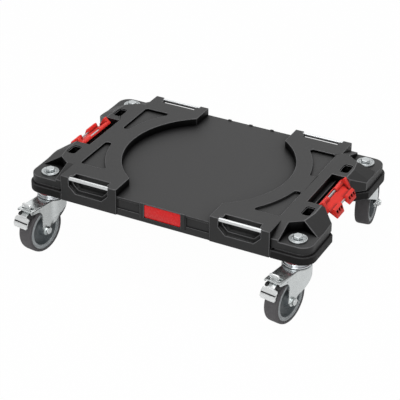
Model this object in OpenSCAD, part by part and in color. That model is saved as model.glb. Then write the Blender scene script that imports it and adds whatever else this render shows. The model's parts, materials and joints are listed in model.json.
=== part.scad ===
// Rolling platform for stacked tool boxes, on four total-lock castors.
// Millimetres. The origin is on the floor under the middle of the deck.
// +X runs along the long side, the front with its label faces -Y, and +Z is up.

/* [Platform] */
// Length over the corner bumpers
platform_length = 634; // [616:1:660]
// Width over the handle faces
platform_width = 400; // [394:1:430]
// Height from the underside of the base to the deck
platform_height = 57; // [54:0.5:62]
// Corner radius of the bumpers
corner_radius = 30; // [24:1:46]
// How far the bumpers stand out past the deck walls
bumper_proud = 5; // [3:0.5:6]
// Height of the bumper band
bumper_height = 18; // [14:0.5:20]
// Open groove between the bumper band and the deck wall
groove_height = 3; // [2:0.5:4]
// Chamfer of each corner tower beside the latch
tower_chamfer = 27; // [18:1:30]

/* [Deck] */
// Thickness of the deck skin
skin = 4; // [3:0.5:5]
// Thickness of the upright walls
wall = 3.5; // [3:0.25:4.5]
// Length of the flat deck between its end slopes
flat_length = 557; // [548:1:570]
// Radius of the round recess
recess_radius = 178; // [165:1:182]
// Width of the channel across the deck
channel_width = 208; // [196:1:212]
// Depth of the recess and the channel
recess_depth = 15; // [10:0.5:18]
// Rim between the recess and the shallow pockets
pocket_rim = 34; // [28:1:40]
// Outer side of the shallow pockets, from the middle
pocket_outer = 223; // [216:1:232]
// Narrow end of the shallow pockets, from the middle
pocket_near = 34; // [26:1:50]
// Wide end of the shallow pockets, from the middle
pocket_far = 137; // [120:1:142]
// Corner radius of the shallow pockets
pocket_radius = 6; // [4:0.25:6.5]
// Depth of the shallow pockets
pocket_depth = 5; // [3:0.5:7]

/* [Sockets] */
// Foot socket centre from the middle, along X
socket_x = 264; // [262:0.5:266]
// Foot socket centre from the middle, along Y
socket_y = 94; // [88:1:100]
// Foot socket width
socket_width = 16; // [12:0.5:18]
// Foot socket length
socket_length = 30; // [24:1:34]
// Foot socket corner radius
socket_radius = 5; // [3:0.5:5.5]
// Foot socket depth
socket_depth = 17; // [12:0.5:18]
// Width and depth of the step round the socket's rim
socket_rim = 2; // [1:0.25:2.5]
// Height of the web on the socket floor
socket_web = 6; // [4:0.5:8]

/* [Handles] */
// Length of each handle block
handle_length = 128; // [120:1:132]
// Length of the grip opening
grip_length = 90; // [80:1:96]
// Depth of the grip opening, from the handle face
grip_depth = 21; // [18:0.5:26]
// Height of the grip opening
grip_height = 35; // [30:0.5:38]
// Chamfer of the lower corners of the grip opening
grip_chamfer = 15; // [8:0.5:18]
// Ledge inside the grip opening
grip_ledge = 6; // [4:0.5:8]
// Depth of the grip opening in front of its ledge
grip_front = 8; // [7.5:0.25:9]
// Strike bar size across the handle
bar_depth = 6; // [5:0.25:8]
// Strike bar height
bar_height = 7; // [5:0.25:9]
// Strike bar edge radius
bar_radius = 2; // [1:0.25:2.4]
// Length of each strike bar end inside its post
bar_seat = 6; // [4:0.5:8]
// Setback of the strike bar behind the handle face and below the deck
bar_setback = 1.2; // [0.8:0.1:2]

/* [Front and rear] */
// Setback of the face between the handles
face_setback = 2; // [1:0.25:3]
// Thickness of the face between the handles
face_wall = 5; // [4.5:0.25:6]
// Width of the label frame
frame_width = 100; // [92:1:108]
// Label length
label_length = 80; // [70:1:84]
// Label height
label_height = 29; // [24:0.5:30]
// Label thickness
label_thickness = 1.5; // [1:0.25:2]
// Depth of the label seat in its frame
label_seat = 2.5; // [2.25:0.25:3]
// Height of the frame above the channel floor
frame_rise = 2; // [1:0.25:3]
// Height of the face panels
panel_height = 20; // [14:0.5:24]
// Depth of the face panels
panel_depth = 2; // [1:0.25:2.5]

/* [Corner bays] */
// Drop from the deck to the bolt seat
seat_drop = 20; // [17:0.5:22]
// Drop of the end slopes at the end wall
slope_drop = 18; // [15:0.5:18.5]
// Drop of the wedge beside the handle at the side wall
wedge_drop = 16; // [12:0.5:16.5]
// Bay wall beside the handle, from the bolt
bay_side = 28.5; // [26:0.5:32]
// Bay back at the handle side, behind the bolt
bay_heel = 19; // [19:0.5:24]
// Deepest point of the bay behind the bolt, along Y
bay_peak = 36.5; // [33:0.5:38]
// Deepest point of the bay from the bolt, along X
bay_peak_offset = 4.5; // [2:0.5:7]
// Bay mouth at the end wall, behind the bolt
bay_mouth = 22.5; // [19.5:0.5:26]
// Break between the two end slopes, from the middle
slope_break = 97; // [92:1:102]

/* [Latches] */
// Inner edge of the latch opening, from the middle
latch_opening_x = 247; // [244:0.5:249]
// Width of the latch opening
latch_opening_width = 122; // [118:1:126]
// Edge of the base below the latch, from the middle
base_notch_x = 251; // [249:0.5:254]
// Width of the ledge inside the latch opening
ledge_width = 9; // [6:0.5:10]
// Drop from the deck to the ledge
ledge_drop = 14; // [10:0.5:20]
// Drop from the deck to the floor below the latch
well_drop = 22; // [20:0.5:26]
// Outer edge of the floor below the latch, from the middle
well_reach = 275; // [270:0.5:280]
// Hinge axis from the middle
hinge_x = 272; // [270:0.5:273]
// Hinge axis below the deck
hinge_drop = 10; // [9:0.5:12]
// Hinge pin diameter
hinge_pin_diameter = 5; // [4:0.25:6]
// Length of each hinge pin end inside the tower
hinge_pin_seat = 8; // [6:0.5:10]
// Latch length along the hinge
latch_width = 116; // [110:1:117]
// Latch reach from the hinge to its outer edge
latch_reach = 41; // [38:0.5:44]
// Latch plate thickness
latch_thickness = 4; // [3:0.25:5]
// Downward slope of the open latch
latch_slope = 28; // [20:1:32]
// Width of the gap between the lugs
lug_gap = 28; // [22:1:34]
// Width of each lug
lug_width = 33; // [28:1:36]
// Length of each lug
lug_length = 19; // [16:0.5:21]
// Length of the flat on top of each lug
lug_top = 6; // [4:0.25:8]
// Height of each lug above the plate
lug_height = 9; // [7:0.5:11]
// Height of the ears above the hinge
ear_height = 14; // [10:0.5:16]
// Width of each ear
ear_width = 9; // [6:0.5:10]
// Window that shows the hinge pin
pin_window = 36; // [28:1:44]
// Width of the rail behind the hinge pin
rail_width = 2; // [1.5:0.25:6]
// Cross pin diameter
cross_pin_diameter = 4; // [3:0.25:4.5]

/* [Castors] */
// Distance between castors along X
castor_spacing_x = 553; // [547:1:557]
// Distance between castors along Y
castor_spacing_y = 335; // [330:1:338]
// Castor height, floor to mounting face
castor_height = 125; // [124:0.5:140]
// Wheel diameter
wheel_diameter = 100; // [96:0.5:101]
// Wheel width over the tyre
wheel_width = 30; // [26:0.5:31]
// Tyre thickness
tyre_thickness = 9; // [7:0.5:10]
// Tyre shoulder radius
tyre_shoulder = 7; // [4:0.5:8]
// Trail of the wheel behind the swivel axis
castor_trail = 40; // [37:0.5:42]
// Radius of the castor head
head_radius = 29; // [28:0.5:30]
// Thickness of the castor head
head_thickness = 5; // [4:0.5:6]
// Radius of the swivel hub
hub_radius = 11; // [10:0.25:12]
// Height of the red ring round the castor head
seal_height = 2; // [1.5:0.25:4]
// Width of the red ring round the castor head
seal_width = 1.2; // [1:0.1:2.5]
// Bearing ball diameter
ball_diameter = 6.8; // [6:0.1:7]
// Number of bearing balls
ball_count = 16; // [12:1:16]
// Radius of the ball circle
ball_circle = 19; // [18.5:0.1:19.5]
// Height of the fork crown under the balls
crown_height = 2; // [1.5:0.25:4]
// Fork sheet thickness
fork_sheet = 2.5; // [2:0.25:3]
// Radius of the fork barrel
barrel_radius = 30; // [29.5:0.5:33]
// Half width of the fork over its legs
fork_half_width = 19; // [18.5:0.25:20.5]
// Reach of the fork plate behind the swivel axis
fork_reach = 84; // [83:0.5:88]
// Height of the fork's side at its tail
tail_height = 5.5; // [4:0.25:7]
// Slope of the fork's lower edge at its tail
tail_slope = 4.5; // [3:0.25:6]
// Bend of the fork's lower edge below its tail
heel_drop = 7.5; // [6:0.25:9]
// Straight part of the legs below the tail
leg_drop = 30; // [26:0.5:34]
// Height of the fork's barrel at its front
front_height = 17; // [14:0.5:22]
// Bend of the fork's front edge, ahead of the axle
bend_reach = 32; // [28:0.5:36]
// Bend of the fork's front edge, below the fork plate
bend_drop = 29; // [24:0.5:34]
// Radius of the fork leg tips
leg_tip = 11; // [9.5:0.5:12]
// Axle diameter
axle_diameter = 10; // [8:0.5:10]
// Wall of the axle sleeve
sleeve_wall = 2.4; // [1.5:0.1:3]

/* [Brakes] */
// Brake pivot behind the swivel axis
pivot_reach = 60; // [59:0.25:61]
// Brake pivot below the top of the fork plate
pivot_drop = 7.5; // [7.4:0.1:7.8]
// Brake pivot pin diameter
pivot_pin_diameter = 5; // [4:0.25:5]
// Width of the pedal
pedal_width = 34; // [30:0.5:36]
// Width of the release tab
tab_width = 23; // [20:0.2:26]
// Width of the brake arm
arm_width = 16; // [12:0.5:18]
// Height of the release tab above the fork plate
tab_rise = 12; // [9:0.5:12.5]
// Lean of the release tab's top away from the swivel axis
tab_lean = 2; // [0:0.25:3]
// Sheet thickness of the release tab
tab_sheet = 3.5; // [3:0.25:4]
// Height of the release tab's neck above the fork plate
tab_neck = 4.5; // [3:0.25:6]
// Slot in the fork plate ahead of the release tab
slot_lead = 7; // [5:0.5:8]
// Room in the slot behind the release tab, for when the brake is pressed
slot_room = 2.5; // [2.25:0.25:4]
// Strip of the fork plate behind the slot
slot_strip = 4.5; // [3:0.25:5]
// Length of the pedal
pedal_length = 11; // [9:0.5:13]
// Drop of the pedal's lip below the pivot
pedal_drop = 27; // [24:0.5:29]

/* [Fasteners] */
// Corner bolt diameter
bolt_diameter = 12; // [10:0.5:12]
// Corner bolt head height
bolt_head = 6; // [5:0.25:8]
// Corner bolt width across flats
bolt_flats = 19; // [17:0.5:19]
// Corner washer diameter
washer_diameter = 37; // [30:0.5:38]
// Corner washer thickness
washer_thickness = 3; // [2:0.25:3.5]
// Castor nut height
nut_height = 10; // [8:0.25:10]
// Thrust washer radius
thrust_radius = 18; // [15:0.5:19]
// Thrust washer thickness
thrust_thickness = 3; // [2:0.25:3]
// Base screw diameter
screw_diameter = 5; // [4:0.25:5.5]
// Base screw length under its head
screw_length = 24; // [16:0.5:28]
// Base screw position along X
screw_x = 205; // [196:1:215]
// Base screw position along Y
screw_y = 120; // [100:1:130]

/* [Base] */
// Thickness of the base floor
base_floor = 3; // [2.5:0.25:4]
// Thickness of the base ribs
rib = 3; // [2:0.25:4]
// Spacing of the base ribs
rib_pitch = 60; // [45:1:70]
// Radius of the castor bosses
boss_radius = 20; // [17:0.5:21]

/* [Fits] */
// Clearance between mouldings that slip together
fit = 0.4; // [0.3:0.05:0.6]
// Radial clearance of running pins and shafts
running_fit = 0.05; // [0.03:0.01:0.08]
// Radial clearance of bolts in their holes
bolt_fit = 0.3; // [0.2:0.05:0.4]
// Axial play of parts that turn past each other
play = 0.3; // [0.2:0.05:0.4]

/* [Hidden] */
$fn = 96;
far = 60;
overlap = 1;
blend = 0.02;
base_z = castor_height;
deck_top = base_z + platform_height;
half_length = platform_length / 2;
half_width = platform_width / 2;
wall_x = half_length - bumper_proud;
wall_y = half_width - bumper_proud;
deck_bottom = base_z + bumper_height + groove_height;
recess_floor = deck_top - recess_depth;
seat_z = deck_top - seat_drop;
flat_x = flat_length / 2;
opening_y = latch_opening_width / 2;
block_inner = channel_width / 2;
block_outer = block_inner + handle_length;
grip_x = block_inner + handle_length / 2;
grip_floor = deck_top - grip_height;
grip_back = half_width - grip_depth;
face_y = half_width - face_setback;
inner_y = face_y - face_wall;
slope_angle = atan(slope_drop / (wall_x - flat_x));
king_x = castor_spacing_x / 2;
king_y = castor_spacing_y / 2;
bay_peak_at = [king_x - bay_peak_offset, king_y - bay_peak];
bay_mouth_at = [wall_x - bumper_proud, king_y - bay_mouth];
hinge_z = deck_top - hinge_drop;
hinge_pin_r = hinge_pin_diameter / 2;
knuckle_r = hinge_pin_r + 2.5;
label_z = recess_floor + frame_rise - label_height / 2 - 3;
frame_bottom = label_z - label_height / 2 - 4;

// Heights and radii of the castor, from its mounting face down
wheel_r = wheel_diameter / 2;
tyre_seat_r = wheel_r - tyre_thickness;
head_under = castor_height - head_thickness;
ball_r = ball_diameter / 2;
ball_z = head_under - play - ball_r;
groove_sink = 0.1;
crown_top = ball_z - ball_r + groove_sink;
fork_top = crown_top - crown_height;
fork_under = fork_top - fork_sheet;
crown_radius = ball_circle + ball_r + 2;
skirt_r = head_radius - 3;
fork_inner = fork_half_width - fork_sheet;
axle_r = axle_diameter / 2;
sleeve_r = axle_r + running_fit + sleeve_wall;
bolt_r = bolt_diameter / 2;
hub_bottom = fork_under - play;
thrust_bottom = hub_bottom - thrust_thickness;
pivot_z = fork_top - pivot_drop;
pivot_r = pivot_pin_diameter / 2;
pivot_knuckle = pivot_r + 2;
tab_reach = fork_reach - slot_strip - slot_room - tab_sheet;
cheek_reach = fork_reach - 8;
pedal_reach = fork_reach + 5;

// Castor corners: name, side along X, side along Y, trail direction at rest
CORNERS = [
    ["front_left", -1, -1, -98],
    ["front_right", 1, -1, -99],
    ["rear_left", -1, 1, 85],
    ["rear_right", 1, 1, 98]
];
SIDES = [["left", -1], ["right", 1]];
CASTOR_PARTS = ["castor_head", "swivel_balls", "fork", "axle_bolt", "axle_sleeve", "wheel_rim",
    "tyre", "brake_lever", "brake_shoe", "brake_pin"];
LATCH_PARTS = ["latch", "latch_hinge_pin", "latch_cross_pin"];

// Colours as the object shows them
black_plastic = "#3a3a3c";
base_plastic = "#2e2e30";
red_plastic = "#e23b38";
zinc_steel = "#c3c8cb";
bright_steel = "#d8dadc";
grey_tyre = "#59575a";
grey_rim = "#8f9598";
black_rubber = "#1c1c1d";

// Mirrors what is drawn in the corner at +X +Y into all four corners
module in_each_corner() {
    for (c = CORNERS)
        mirror([c[1] < 0 ? 1 : 0, 0, 0])
            mirror([0, c[2] < 0 ? 1 : 0, 0])
                children();
}

// Mirrors what is drawn on the +X side onto both sides
module on_side(side) {
    mirror([side < 0 ? 1 : 0, 0, 0])
        children();
}

// Rectangle with round corners, centred
module rounded_rectangle(size, radius) {
    square([size[0] - 2 * radius, size[1]], center = true);
    square([size[0], size[1] - 2 * radius], center = true);
    for (x = [-1, 1], y = [-1, 1])
        translate([x * (size[0] / 2 - radius), y * (size[1] / 2 - radius)])
            circle(radius);
}

// Outline of the latch notch at the +X end, grown by a margin
module notch_plan(notch_x, end_x, grow) {
    y = opening_y + grow;
    heel = end_x - tower_chamfer - grow * (sqrt(2) - 1);
    flare = y + end_x + far - heel;
    polygon([
        [notch_x - grow, -y], [heel, -y], [end_x + far, -flare],
        [end_x + far, flare], [heel, y], [notch_x - grow, y]
    ]);
}

// Platform outline, drawn in by an inset, with a latch notch at each end
module platform_plan(inset, notch_x, notch_grow) {
    difference() {
        rounded_rectangle(
            [platform_length - 2 * inset, platform_width - 2 * inset], corner_radius - inset);
        for (s = SIDES)
            on_side(s[1])
                notch_plan(notch_x, half_length - inset, notch_grow);
    }
}

// Round recess and straight channel, grown by a margin
module recess_plan(grow) {
    circle(recess_radius + grow);
    square([channel_width + 2 * grow, platform_width + far], center = true);
}

// Shallow pocket of the +X +Y corner with sharp corners, grown by a margin
module pocket_area(grow) {
    difference() {
        translate([0, pocket_near - grow])
            square([pocket_outer + grow, pocket_far - pocket_near + 2 * grow]);
        circle(recess_radius + pocket_rim - grow);
    }
}

// Centre of the round that joins the pocket's arc to a straight end
function pocket_round_at(y) =
    [sqrt(pow(recess_radius + pocket_rim + pocket_radius, 2) - y * y), y];

// Shallow pocket of the +X +Y corner with round corners
module pocket_plan() {
    wide = pocket_round_at(pocket_far - pocket_radius);
    narrow = pocket_round_at(pocket_near + pocket_radius);
    difference() {
        intersection() {
            pocket_area(0);
            translate([pocket_outer / 2, (pocket_near + pocket_far) / 2])
                rounded_rectangle([pocket_outer, pocket_far - pocket_near], pocket_radius);
        }
        polygon([[0, 0], wide, [wide[0], pocket_far + 1], [0, pocket_far + 1]]);
        polygon([[0, 0], narrow, [narrow[0], 0]]);
    }
    for (at = [wide, narrow])
        translate(at)
            circle(pocket_radius + blend);
}

// Plan of the lowered bolt bay in the +X +Y corner
module bay_plan() {
    side = king_x - bay_side;
    polygon([
        [side, half_width + far], [side, king_y - bay_heel], bay_peak_at, bay_mouth_at,
        bay_mouth_at + (bay_mouth_at - bay_peak_at), [half_length + far, half_width + far]
    ]);
}

// Block above a slope that falls outwards from a line through a point of the deck edge
module slope_cut(at, angle) {
    translate([at[0], at[1], deck_top])
        rotate([0, 0, angle])
            rotate([0, slope_angle, 0])
                translate([0, -platform_width / 2, 0])
                    cube([far * 2, platform_width, far]);
}

// What the end slopes take off above the bolt seat at the +X +Y corner
module end_slopes() {
    edge = bay_peak_at - [flat_x, slope_break];
    intersection() {
        union() {
            slope_cut([flat_x, 0], 0);
            slope_cut([flat_x, slope_break], atan2(-edge[0], edge[1]));
        }
        translate([latch_opening_x, 0, seat_z])
            cube([far * 3, half_width, far]);
    }
}

// What the sloped wedge between the handle and the bay takes off
module wedge_slope() {
    start = king_y - bay_heel;
    translate([block_outer, start, deck_top])
        rotate([-atan(wedge_drop / (wall_y - start)), 0, 0])
            cube([king_x - bay_side - block_outer + overlap, far * 2, far]);
}

// Outline of the grip opening from the front, drawn in by an inset
module grip_outline(inset) {
    half = grip_length / 2 - inset;
    low = inset - grip_height;
    chamfer = grip_chamfer - inset * (2 - sqrt(2));
    polygon([
        [-half, far], [-half, low + chamfer], [chamfer - half, low],
        [half - chamfer, low], [half, low + chamfer], [half, far]
    ]);
}

// Stepped grip opening of the +X +Y handle, open at the face and at the top
module grip_cut() {
    translate([grip_x, half_width + far, deck_top])
        rotate([90, 0, 0]) {
            linear_extrude(far + grip_front)
                grip_outline(0);
            linear_extrude(far + grip_depth)
                grip_outline(grip_ledge);
        }
}

// Section of a strike bar, grown by a margin
module bar_section(grow) {
    rounded_rectangle([bar_depth + 2 * grow, bar_height + 2 * grow], bar_radius + grow);
}

// Strike bar of the +X +Y handle, grown by a margin
module bar_shape(grow) {
    length = grip_length + 2 * (bar_seat + grow);
    translate([
        grip_x - length / 2,
        half_width - bar_setback - bar_depth / 2,
        deck_top - bar_setback - bar_height / 2
    ])
        rotate([90, 0, 90])
            linear_extrude(length)
                bar_section(grow);
}

// Foot socket with a stepped rim and a low web across its floor
module socket_cut() {
    translate([socket_x, socket_y, deck_top - socket_depth])
        difference() {
            linear_extrude(socket_depth + far)
                rounded_rectangle([socket_width, socket_length], socket_radius);
            translate([-socket_width, -rib / 2, -far])
                cube([socket_width * 2, rib, far + socket_web]);
        }
    translate([socket_x, socket_y, deck_top - socket_rim])
        linear_extrude(far)
            rounded_rectangle(
                [socket_width + 2 * socket_rim, socket_length + 2 * socket_rim],
                socket_radius + socket_rim);
}

// Raised frame of the label, drawn at +Y
module face_frame() {
    translate([-frame_width / 2, inner_y, frame_bottom])
        cube([frame_width, half_width - inner_y, recess_floor + frame_rise - frame_bottom]);
}

// Sunk panels on both sides of the frame, drawn at +Y
module face_panels() {
    gap = 2;
    length = block_inner - frame_width / 2 - 2 * gap;
    for (x = [frame_width / 2 + gap, -block_inner + gap])
        translate([x, face_y - panel_depth, label_z - panel_height / 2])
            cube([length, far, panel_height]);
}

// Seat of the label in the front frame
module label_cut() {
    translate([-label_length / 2 - fit, -half_width - far, label_z - label_height / 2 - fit])
        cube([label_length + 2 * fit, far + label_seat, label_height + 2 * fit]);
}

// Outside of the deck before it is hollowed
module deck_block() {
    translate([0, 0, deck_bottom])
        linear_extrude(deck_top - deck_bottom)
            platform_plan(bumper_proud, latch_opening_x, 0);
    for (y = [0, 1])
        mirror([0, y, 0]) {
            translate([-block_outer, grip_back - wall, base_z])
                cube([2 * block_outer, face_y - grip_back + wall, recess_floor - base_z]);
            for (x = [-block_outer, block_inner])
                translate([x, grip_back - wall, base_z])
                    cube([handle_length, grip_depth + wall, platform_height]);
        }
}

// Hollows on the underside of the deck
module deck_hollows() {
    under_recess = recess_floor - skin;
    under_flat = deck_top - skin;
    under_pocket = under_flat - pocket_depth;
    low = base_z - far;
    translate([-block_outer - fit, -inner_y, low])
        cube([2 * (block_outer + fit), 2 * inner_y, grip_floor - wall - low]);
    translate([0, 0, low])
        linear_extrude(under_recess - low)
            intersection() {
                recess_plan(wall);
                square([platform_length, 2 * inner_y], center = true);
            }
    translate([0, 0, low])
        linear_extrude(under_pocket - low)
            side_hollow_plan();
    translate([0, 0, low])
        linear_extrude(under_flat - low)
            difference() {
                side_hollow_plan();
                in_each_corner()
                    pocket_area(wall);
            }
    translate([0, 0, low])
        linear_extrude(seat_z - skin - low)
            tower_hollow_plan();
}

// Plan of the hollows under the flat deck on both sides of the recess
module side_hollow_plan() {
    difference() {
        union() {
            square([2 * (latch_opening_x - wall), 2 * (king_y - bay_heel - wall)], center = true);
            square([2 * (block_outer - wall), 2 * (grip_back - wall)], center = true);
        }
        recess_plan(wall);
    }
}

// Plan of the hollows inside the corner towers
module tower_hollow_plan() {
    difference() {
        platform_plan(bumper_proud + wall, latch_opening_x, wall);
        square([2 * latch_opening_x, platform_width], center = true);
    }
}

// Ledge along the inner side of the latch opening, and the floor below the latch
module latch_ledge() {
    inner = latch_opening_x - overlap;
    width = latch_opening_width + 2 * overlap;
    translate([inner, -width / 2, deck_bottom])
        cube([ledge_width + overlap, width, deck_top - ledge_drop - deck_bottom]);
    translate([inner, -width / 2, deck_top - well_drop - wall])
        cube([well_reach - inner, width, wall]);
}

// Hollow post under the deck that takes a base screw
module screw_post() {
    top = deck_top - pocket_depth - skin;
    floor_z = base_z + base_floor;
    translate([screw_x, screw_y, floor_z])
        difference() {
            cylinder(h = top - floor_z, r = screw_diameter / 2 + wall);
            translate([0, 0, -1])
                cylinder(h = screw_length + 2, r = screw_diameter / 2 + running_fit);
        }
}

// Small bumps along the rear edge of the channel floor
module rear_bumps() {
    width = 8;
    for (x = [-1, 0, 1])
        translate([x * frame_width / 2 - width / 2, face_y - wall, recess_floor])
            cube([width, wall, frame_rise]);
}

module deck() {
    color(black_plastic) {
        difference() {
            union() {
                deck_block();
                mirror([0, 1, 0])
                    face_frame();
            }
            deck_hollows();
            translate([0, 0, recess_floor])
                linear_extrude(far)
                    difference() {
                        recess_plan(0);
                        translate([-frame_width / 2, -face_y - far])
                            square([frame_width, far]);
                    }
            in_each_corner() {
                translate([0, 0, deck_top - pocket_depth])
                    linear_extrude(far)
                        pocket_plan();
                translate([0, 0, seat_z])
                    linear_extrude(far)
                        bay_plan();
                end_slopes();
                wedge_slope();
                grip_cut();
                bar_shape(running_fit);
                socket_cut();
                translate([king_x, king_y, base_z])
                    cylinder(h = far * 2, r = bolt_r + bolt_fit);
            }
            for (y = [0, 1])
                mirror([0, y, 0])
                    face_panels();
            label_cut();
            for (s = SIDES)
                on_side(s[1])
                    hinge_bore(opening_y + hinge_pin_seat, hinge_pin_r + running_fit);
        }
        for (s = SIDES)
            on_side(s[1])
                latch_ledge();
        in_each_corner()
            screw_post();
        rear_bumps();
    }
}

// Round bar along the hinge axis of the +X latch
module hinge_bore(half, radius) {
    translate([hinge_x, half, hinge_z])
        rotate([90, 0, 0])
            cylinder(h = 2 * half, r = radius);
}

// Base outline, which steps in behind the handle faces
module base_plan(inset) {
    edge = block_outer + fit + inset;
    intersection() {
        platform_plan(inset, base_notch_x, wall + inset);
        union() {
            square([platform_length, 2 * (inner_y - fit - inset)], center = true);
            for (x = [-half_length - far, edge])
                translate([x, -half_width])
                    square([half_length + far - edge, platform_width]);
        }
    }
}

// Crossing ribs that carry the recess floor
module base_ribs() {
    top = recess_floor - skin;
    reach = recess_radius - rib_pitch / 2;
    count = floor((block_inner - rib) / rib_pitch);
    translate([0, 0, base_z])
        linear_extrude(top - base_z)
            for (i = [-count:count]) {
                translate([i * rib_pitch, 0])
                    square([rib, 2 * reach], center = true);
                translate([0, i * rib_pitch])
                    square([2 * block_inner - 2 * rib, rib], center = true);
            }
}

module base_frame() {
    step = bumper_proud + wall;
    color(base_plastic)
        difference() {
            union() {
                translate([0, 0, base_z])
                    linear_extrude(base_floor)
                        base_plan(0);
                translate([0, 0, base_z])
                    linear_extrude(bumper_height)
                        difference() {
                            base_plan(0);
                            base_plan(step);
                        }
                translate([0, 0, base_z])
                    linear_extrude(bumper_height + groove_height)
                        difference() {
                            base_plan(bumper_proud);
                            base_plan(step);
                            square([2 * (block_outer + step), platform_width], center = true);
                        }
                base_ribs();
                in_each_corner()
                    translate([king_x, king_y, base_z])
                        cylinder(h = seat_z - skin - base_z, r = boss_radius);
            }
            in_each_corner() {
                translate([king_x, king_y, base_z - 1])
                    cylinder(h = far * 2, r = bolt_r + bolt_fit);
                translate([screw_x, screw_y, base_z - 1])
                    cylinder(h = far, r = screw_diameter / 2 + bolt_fit);
            }
        }
}

module label_plate() {
    color(red_plastic)
        translate([
            -label_length / 2, -half_width + label_seat - label_thickness,
            label_z - label_height / 2
        ])
            cube([label_length, label_thickness, label_height]);
}

// Strike bar of one corner's handle
module strike_bar(c) {
    color(bright_steel)
        mirror([c[1] < 0 ? 1 : 0, 0, 0])
            mirror([0, c[2] < 0 ? 1 : 0, 0])
                bar_shape(0);
}

// Hexagon of a given width across flats, extruded upwards
module hexagon(flats, height) {
    cylinder(h = height, r = flats / sqrt(3), $fn = 6);
}

// Flat ring, extruded upwards
module ring(outer, inner, height) {
    difference() {
        cylinder(h = height, r = outer);
        translate([0, 0, -1])
            cylinder(h = height + 2, r = inner);
    }
}

module corner_bolts() {
    under_head = seat_z + washer_thickness;
    end_z = thrust_bottom - nut_height - 2;
    color(zinc_steel)
        in_each_corner()
            translate([king_x, king_y, 0]) {
                translate([0, 0, under_head])
                    hexagon(bolt_flats, bolt_head);
                translate([0, 0, end_z])
                    cylinder(h = under_head - end_z, r = bolt_r);
            }
}

module corner_washers() {
    color(zinc_steel)
        in_each_corner()
            translate([king_x, king_y, seat_z])
                ring(washer_diameter / 2, bolt_r + bolt_fit, washer_thickness);
}

module thrust_washers() {
    color(zinc_steel)
        in_each_corner()
            translate([king_x, king_y, thrust_bottom])
                ring(thrust_radius, bolt_r + bolt_fit, thrust_thickness);
}

module castor_nuts() {
    color(zinc_steel)
        in_each_corner()
            translate([king_x, king_y, thrust_bottom - nut_height])
                difference() {
                    hexagon(bolt_flats, nut_height);
                    translate([0, 0, -1])
                        cylinder(h = nut_height + 2, r = bolt_r + running_fit);
                }
}

module base_screws() {
    head_height = 2.5;
    color(zinc_steel)
        in_each_corner()
            translate([screw_x, screw_y, base_z - head_height]) {
                cylinder(h = head_height, r = screw_diameter);
                cylinder(h = head_height + base_floor + screw_length, r = screw_diameter / 2);
            }
}

// Red ring round each castor head, against the base
module swivel_seals() {
    color(red_plastic)
        in_each_corner()
            translate([king_x, king_y, base_z - seal_height])
                ring(head_radius + seal_width, head_radius + running_fit, seal_height);
}

// Latch of the +X side, drawn flat with its hinge on the Y axis
module latch_shape() {
    knuckle = (latch_width - pin_window) / 2;
    lug_start = lug_gap / 2;
    lug_base = latch_reach - lug_length;
    ear_base = 20;
    plate_top = latch_thickness / 2 - 1;
    plate_bottom = plate_top - latch_thickness;
    slot = hinge_pin_r + 1;
    difference() {
        union() {
            for (y = [0, 1])
                mirror([0, y, 0]) {
                    translate([0, latch_width / 2, 0])
                        rotate([90, 0, 0])
                            cylinder(h = knuckle, r = knuckle_r);
                    translate([0, lug_start + lug_width, 0])
                        rotate([90, 0, 0])
                            linear_extrude(lug_width)
                                polygon([
                                    [lug_base, plate_bottom], [lug_base, plate_top + lug_height],
                                    [lug_base + lug_top, plate_top + lug_height],
                                    [latch_reach, plate_bottom + 1], [latch_reach - 1, plate_bottom]
                                ]);
                    translate([0, latch_width / 2, 0])
                        rotate([90, 0, 0])
                            linear_extrude(ear_width)
                                polygon([
                                    [-knuckle_r + 1, 0], [-1.5, ear_height], [1.5, ear_height],
                                    [ear_base, plate_top], [ear_base, plate_bottom],
                                    [0, -knuckle_r + 1]
                                ]);
                }
            translate([-slot - rail_width, -latch_width / 2, plate_bottom])
                cube([slot + rail_width + ear_base - 6, latch_width, latch_thickness]);
            translate([0, -lug_start - lug_width, plate_bottom])
                cube([lug_base + 2, 2 * (lug_start + lug_width), latch_thickness]);
        }
        translate([-slot, -pin_window / 2, -far])
            cube([2 * slot, pin_window, 2 * far]);
        translate([0, far * 2, 0])
            rotate([90, 0, 0])
                cylinder(h = far * 4, r = hinge_pin_r + running_fit);
        lug_cells(lug_start, lug_base, plate_top);
        cross_pin_shape(running_fit);
    }
}

// Open cells in the slanted outer face of the lugs
module lug_cells(lug_start, lug_base, plate_top) {
    cell_wall = 2.5;
    cell_roof = 1.5;
    cells = 3;
    pitch = (lug_width - cell_wall) / cells;
    for (y = [0, 1])
        mirror([0, y, 0])
            for (i = [0:cells - 1])
                translate([
                    lug_base + lug_top, lug_start + cell_wall + i * pitch, plate_top + cell_roof
                ])
                    cube([lug_length, pitch - cell_wall, lug_height - 2 * cell_roof]);
}

// Cross pin between the lugs of the +X latch, drawn flat
module cross_pin_shape(grow) {
    seat = 6;
    length = lug_gap + 2 * (seat + grow);
    translate([latch_reach - lug_length + cross_pin_diameter, length / 2, lug_height / 2 - 2])
        rotate([90, 0, 0])
            cylinder(h = length, r = cross_pin_diameter / 2 + grow);
}

// Puts a flat latch drawing into its open place on one side
module at_hinge(side) {
    on_side(side)
        translate([hinge_x, 0, hinge_z])
            rotate([0, latch_slope, 0])
                children();
}

module latch(side) {
    color(red_plastic)
        at_hinge(side)
            latch_shape();
}

module latch_hinge_pin(side) {
    color(bright_steel)
        on_side(side)
            hinge_bore(opening_y + hinge_pin_seat - fit, hinge_pin_r);
}

module latch_cross_pin(side) {
    color(bright_steel)
        at_hinge(side)
            cross_pin_shape(0);
}

// Turns a castor drawing, with its trail along +X, into its place at one corner
module at_corner(c) {
    translate([c[1] * king_x, c[2] * king_y, 0])
        rotate([0, 0, c[3]])
            children();
}

// Turns a drawing round +Z into one round the wheel's axle
module on_axle() {
    translate([castor_trail, 0, wheel_r])
        rotate([90, 0, 0])
            children();
}

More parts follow.
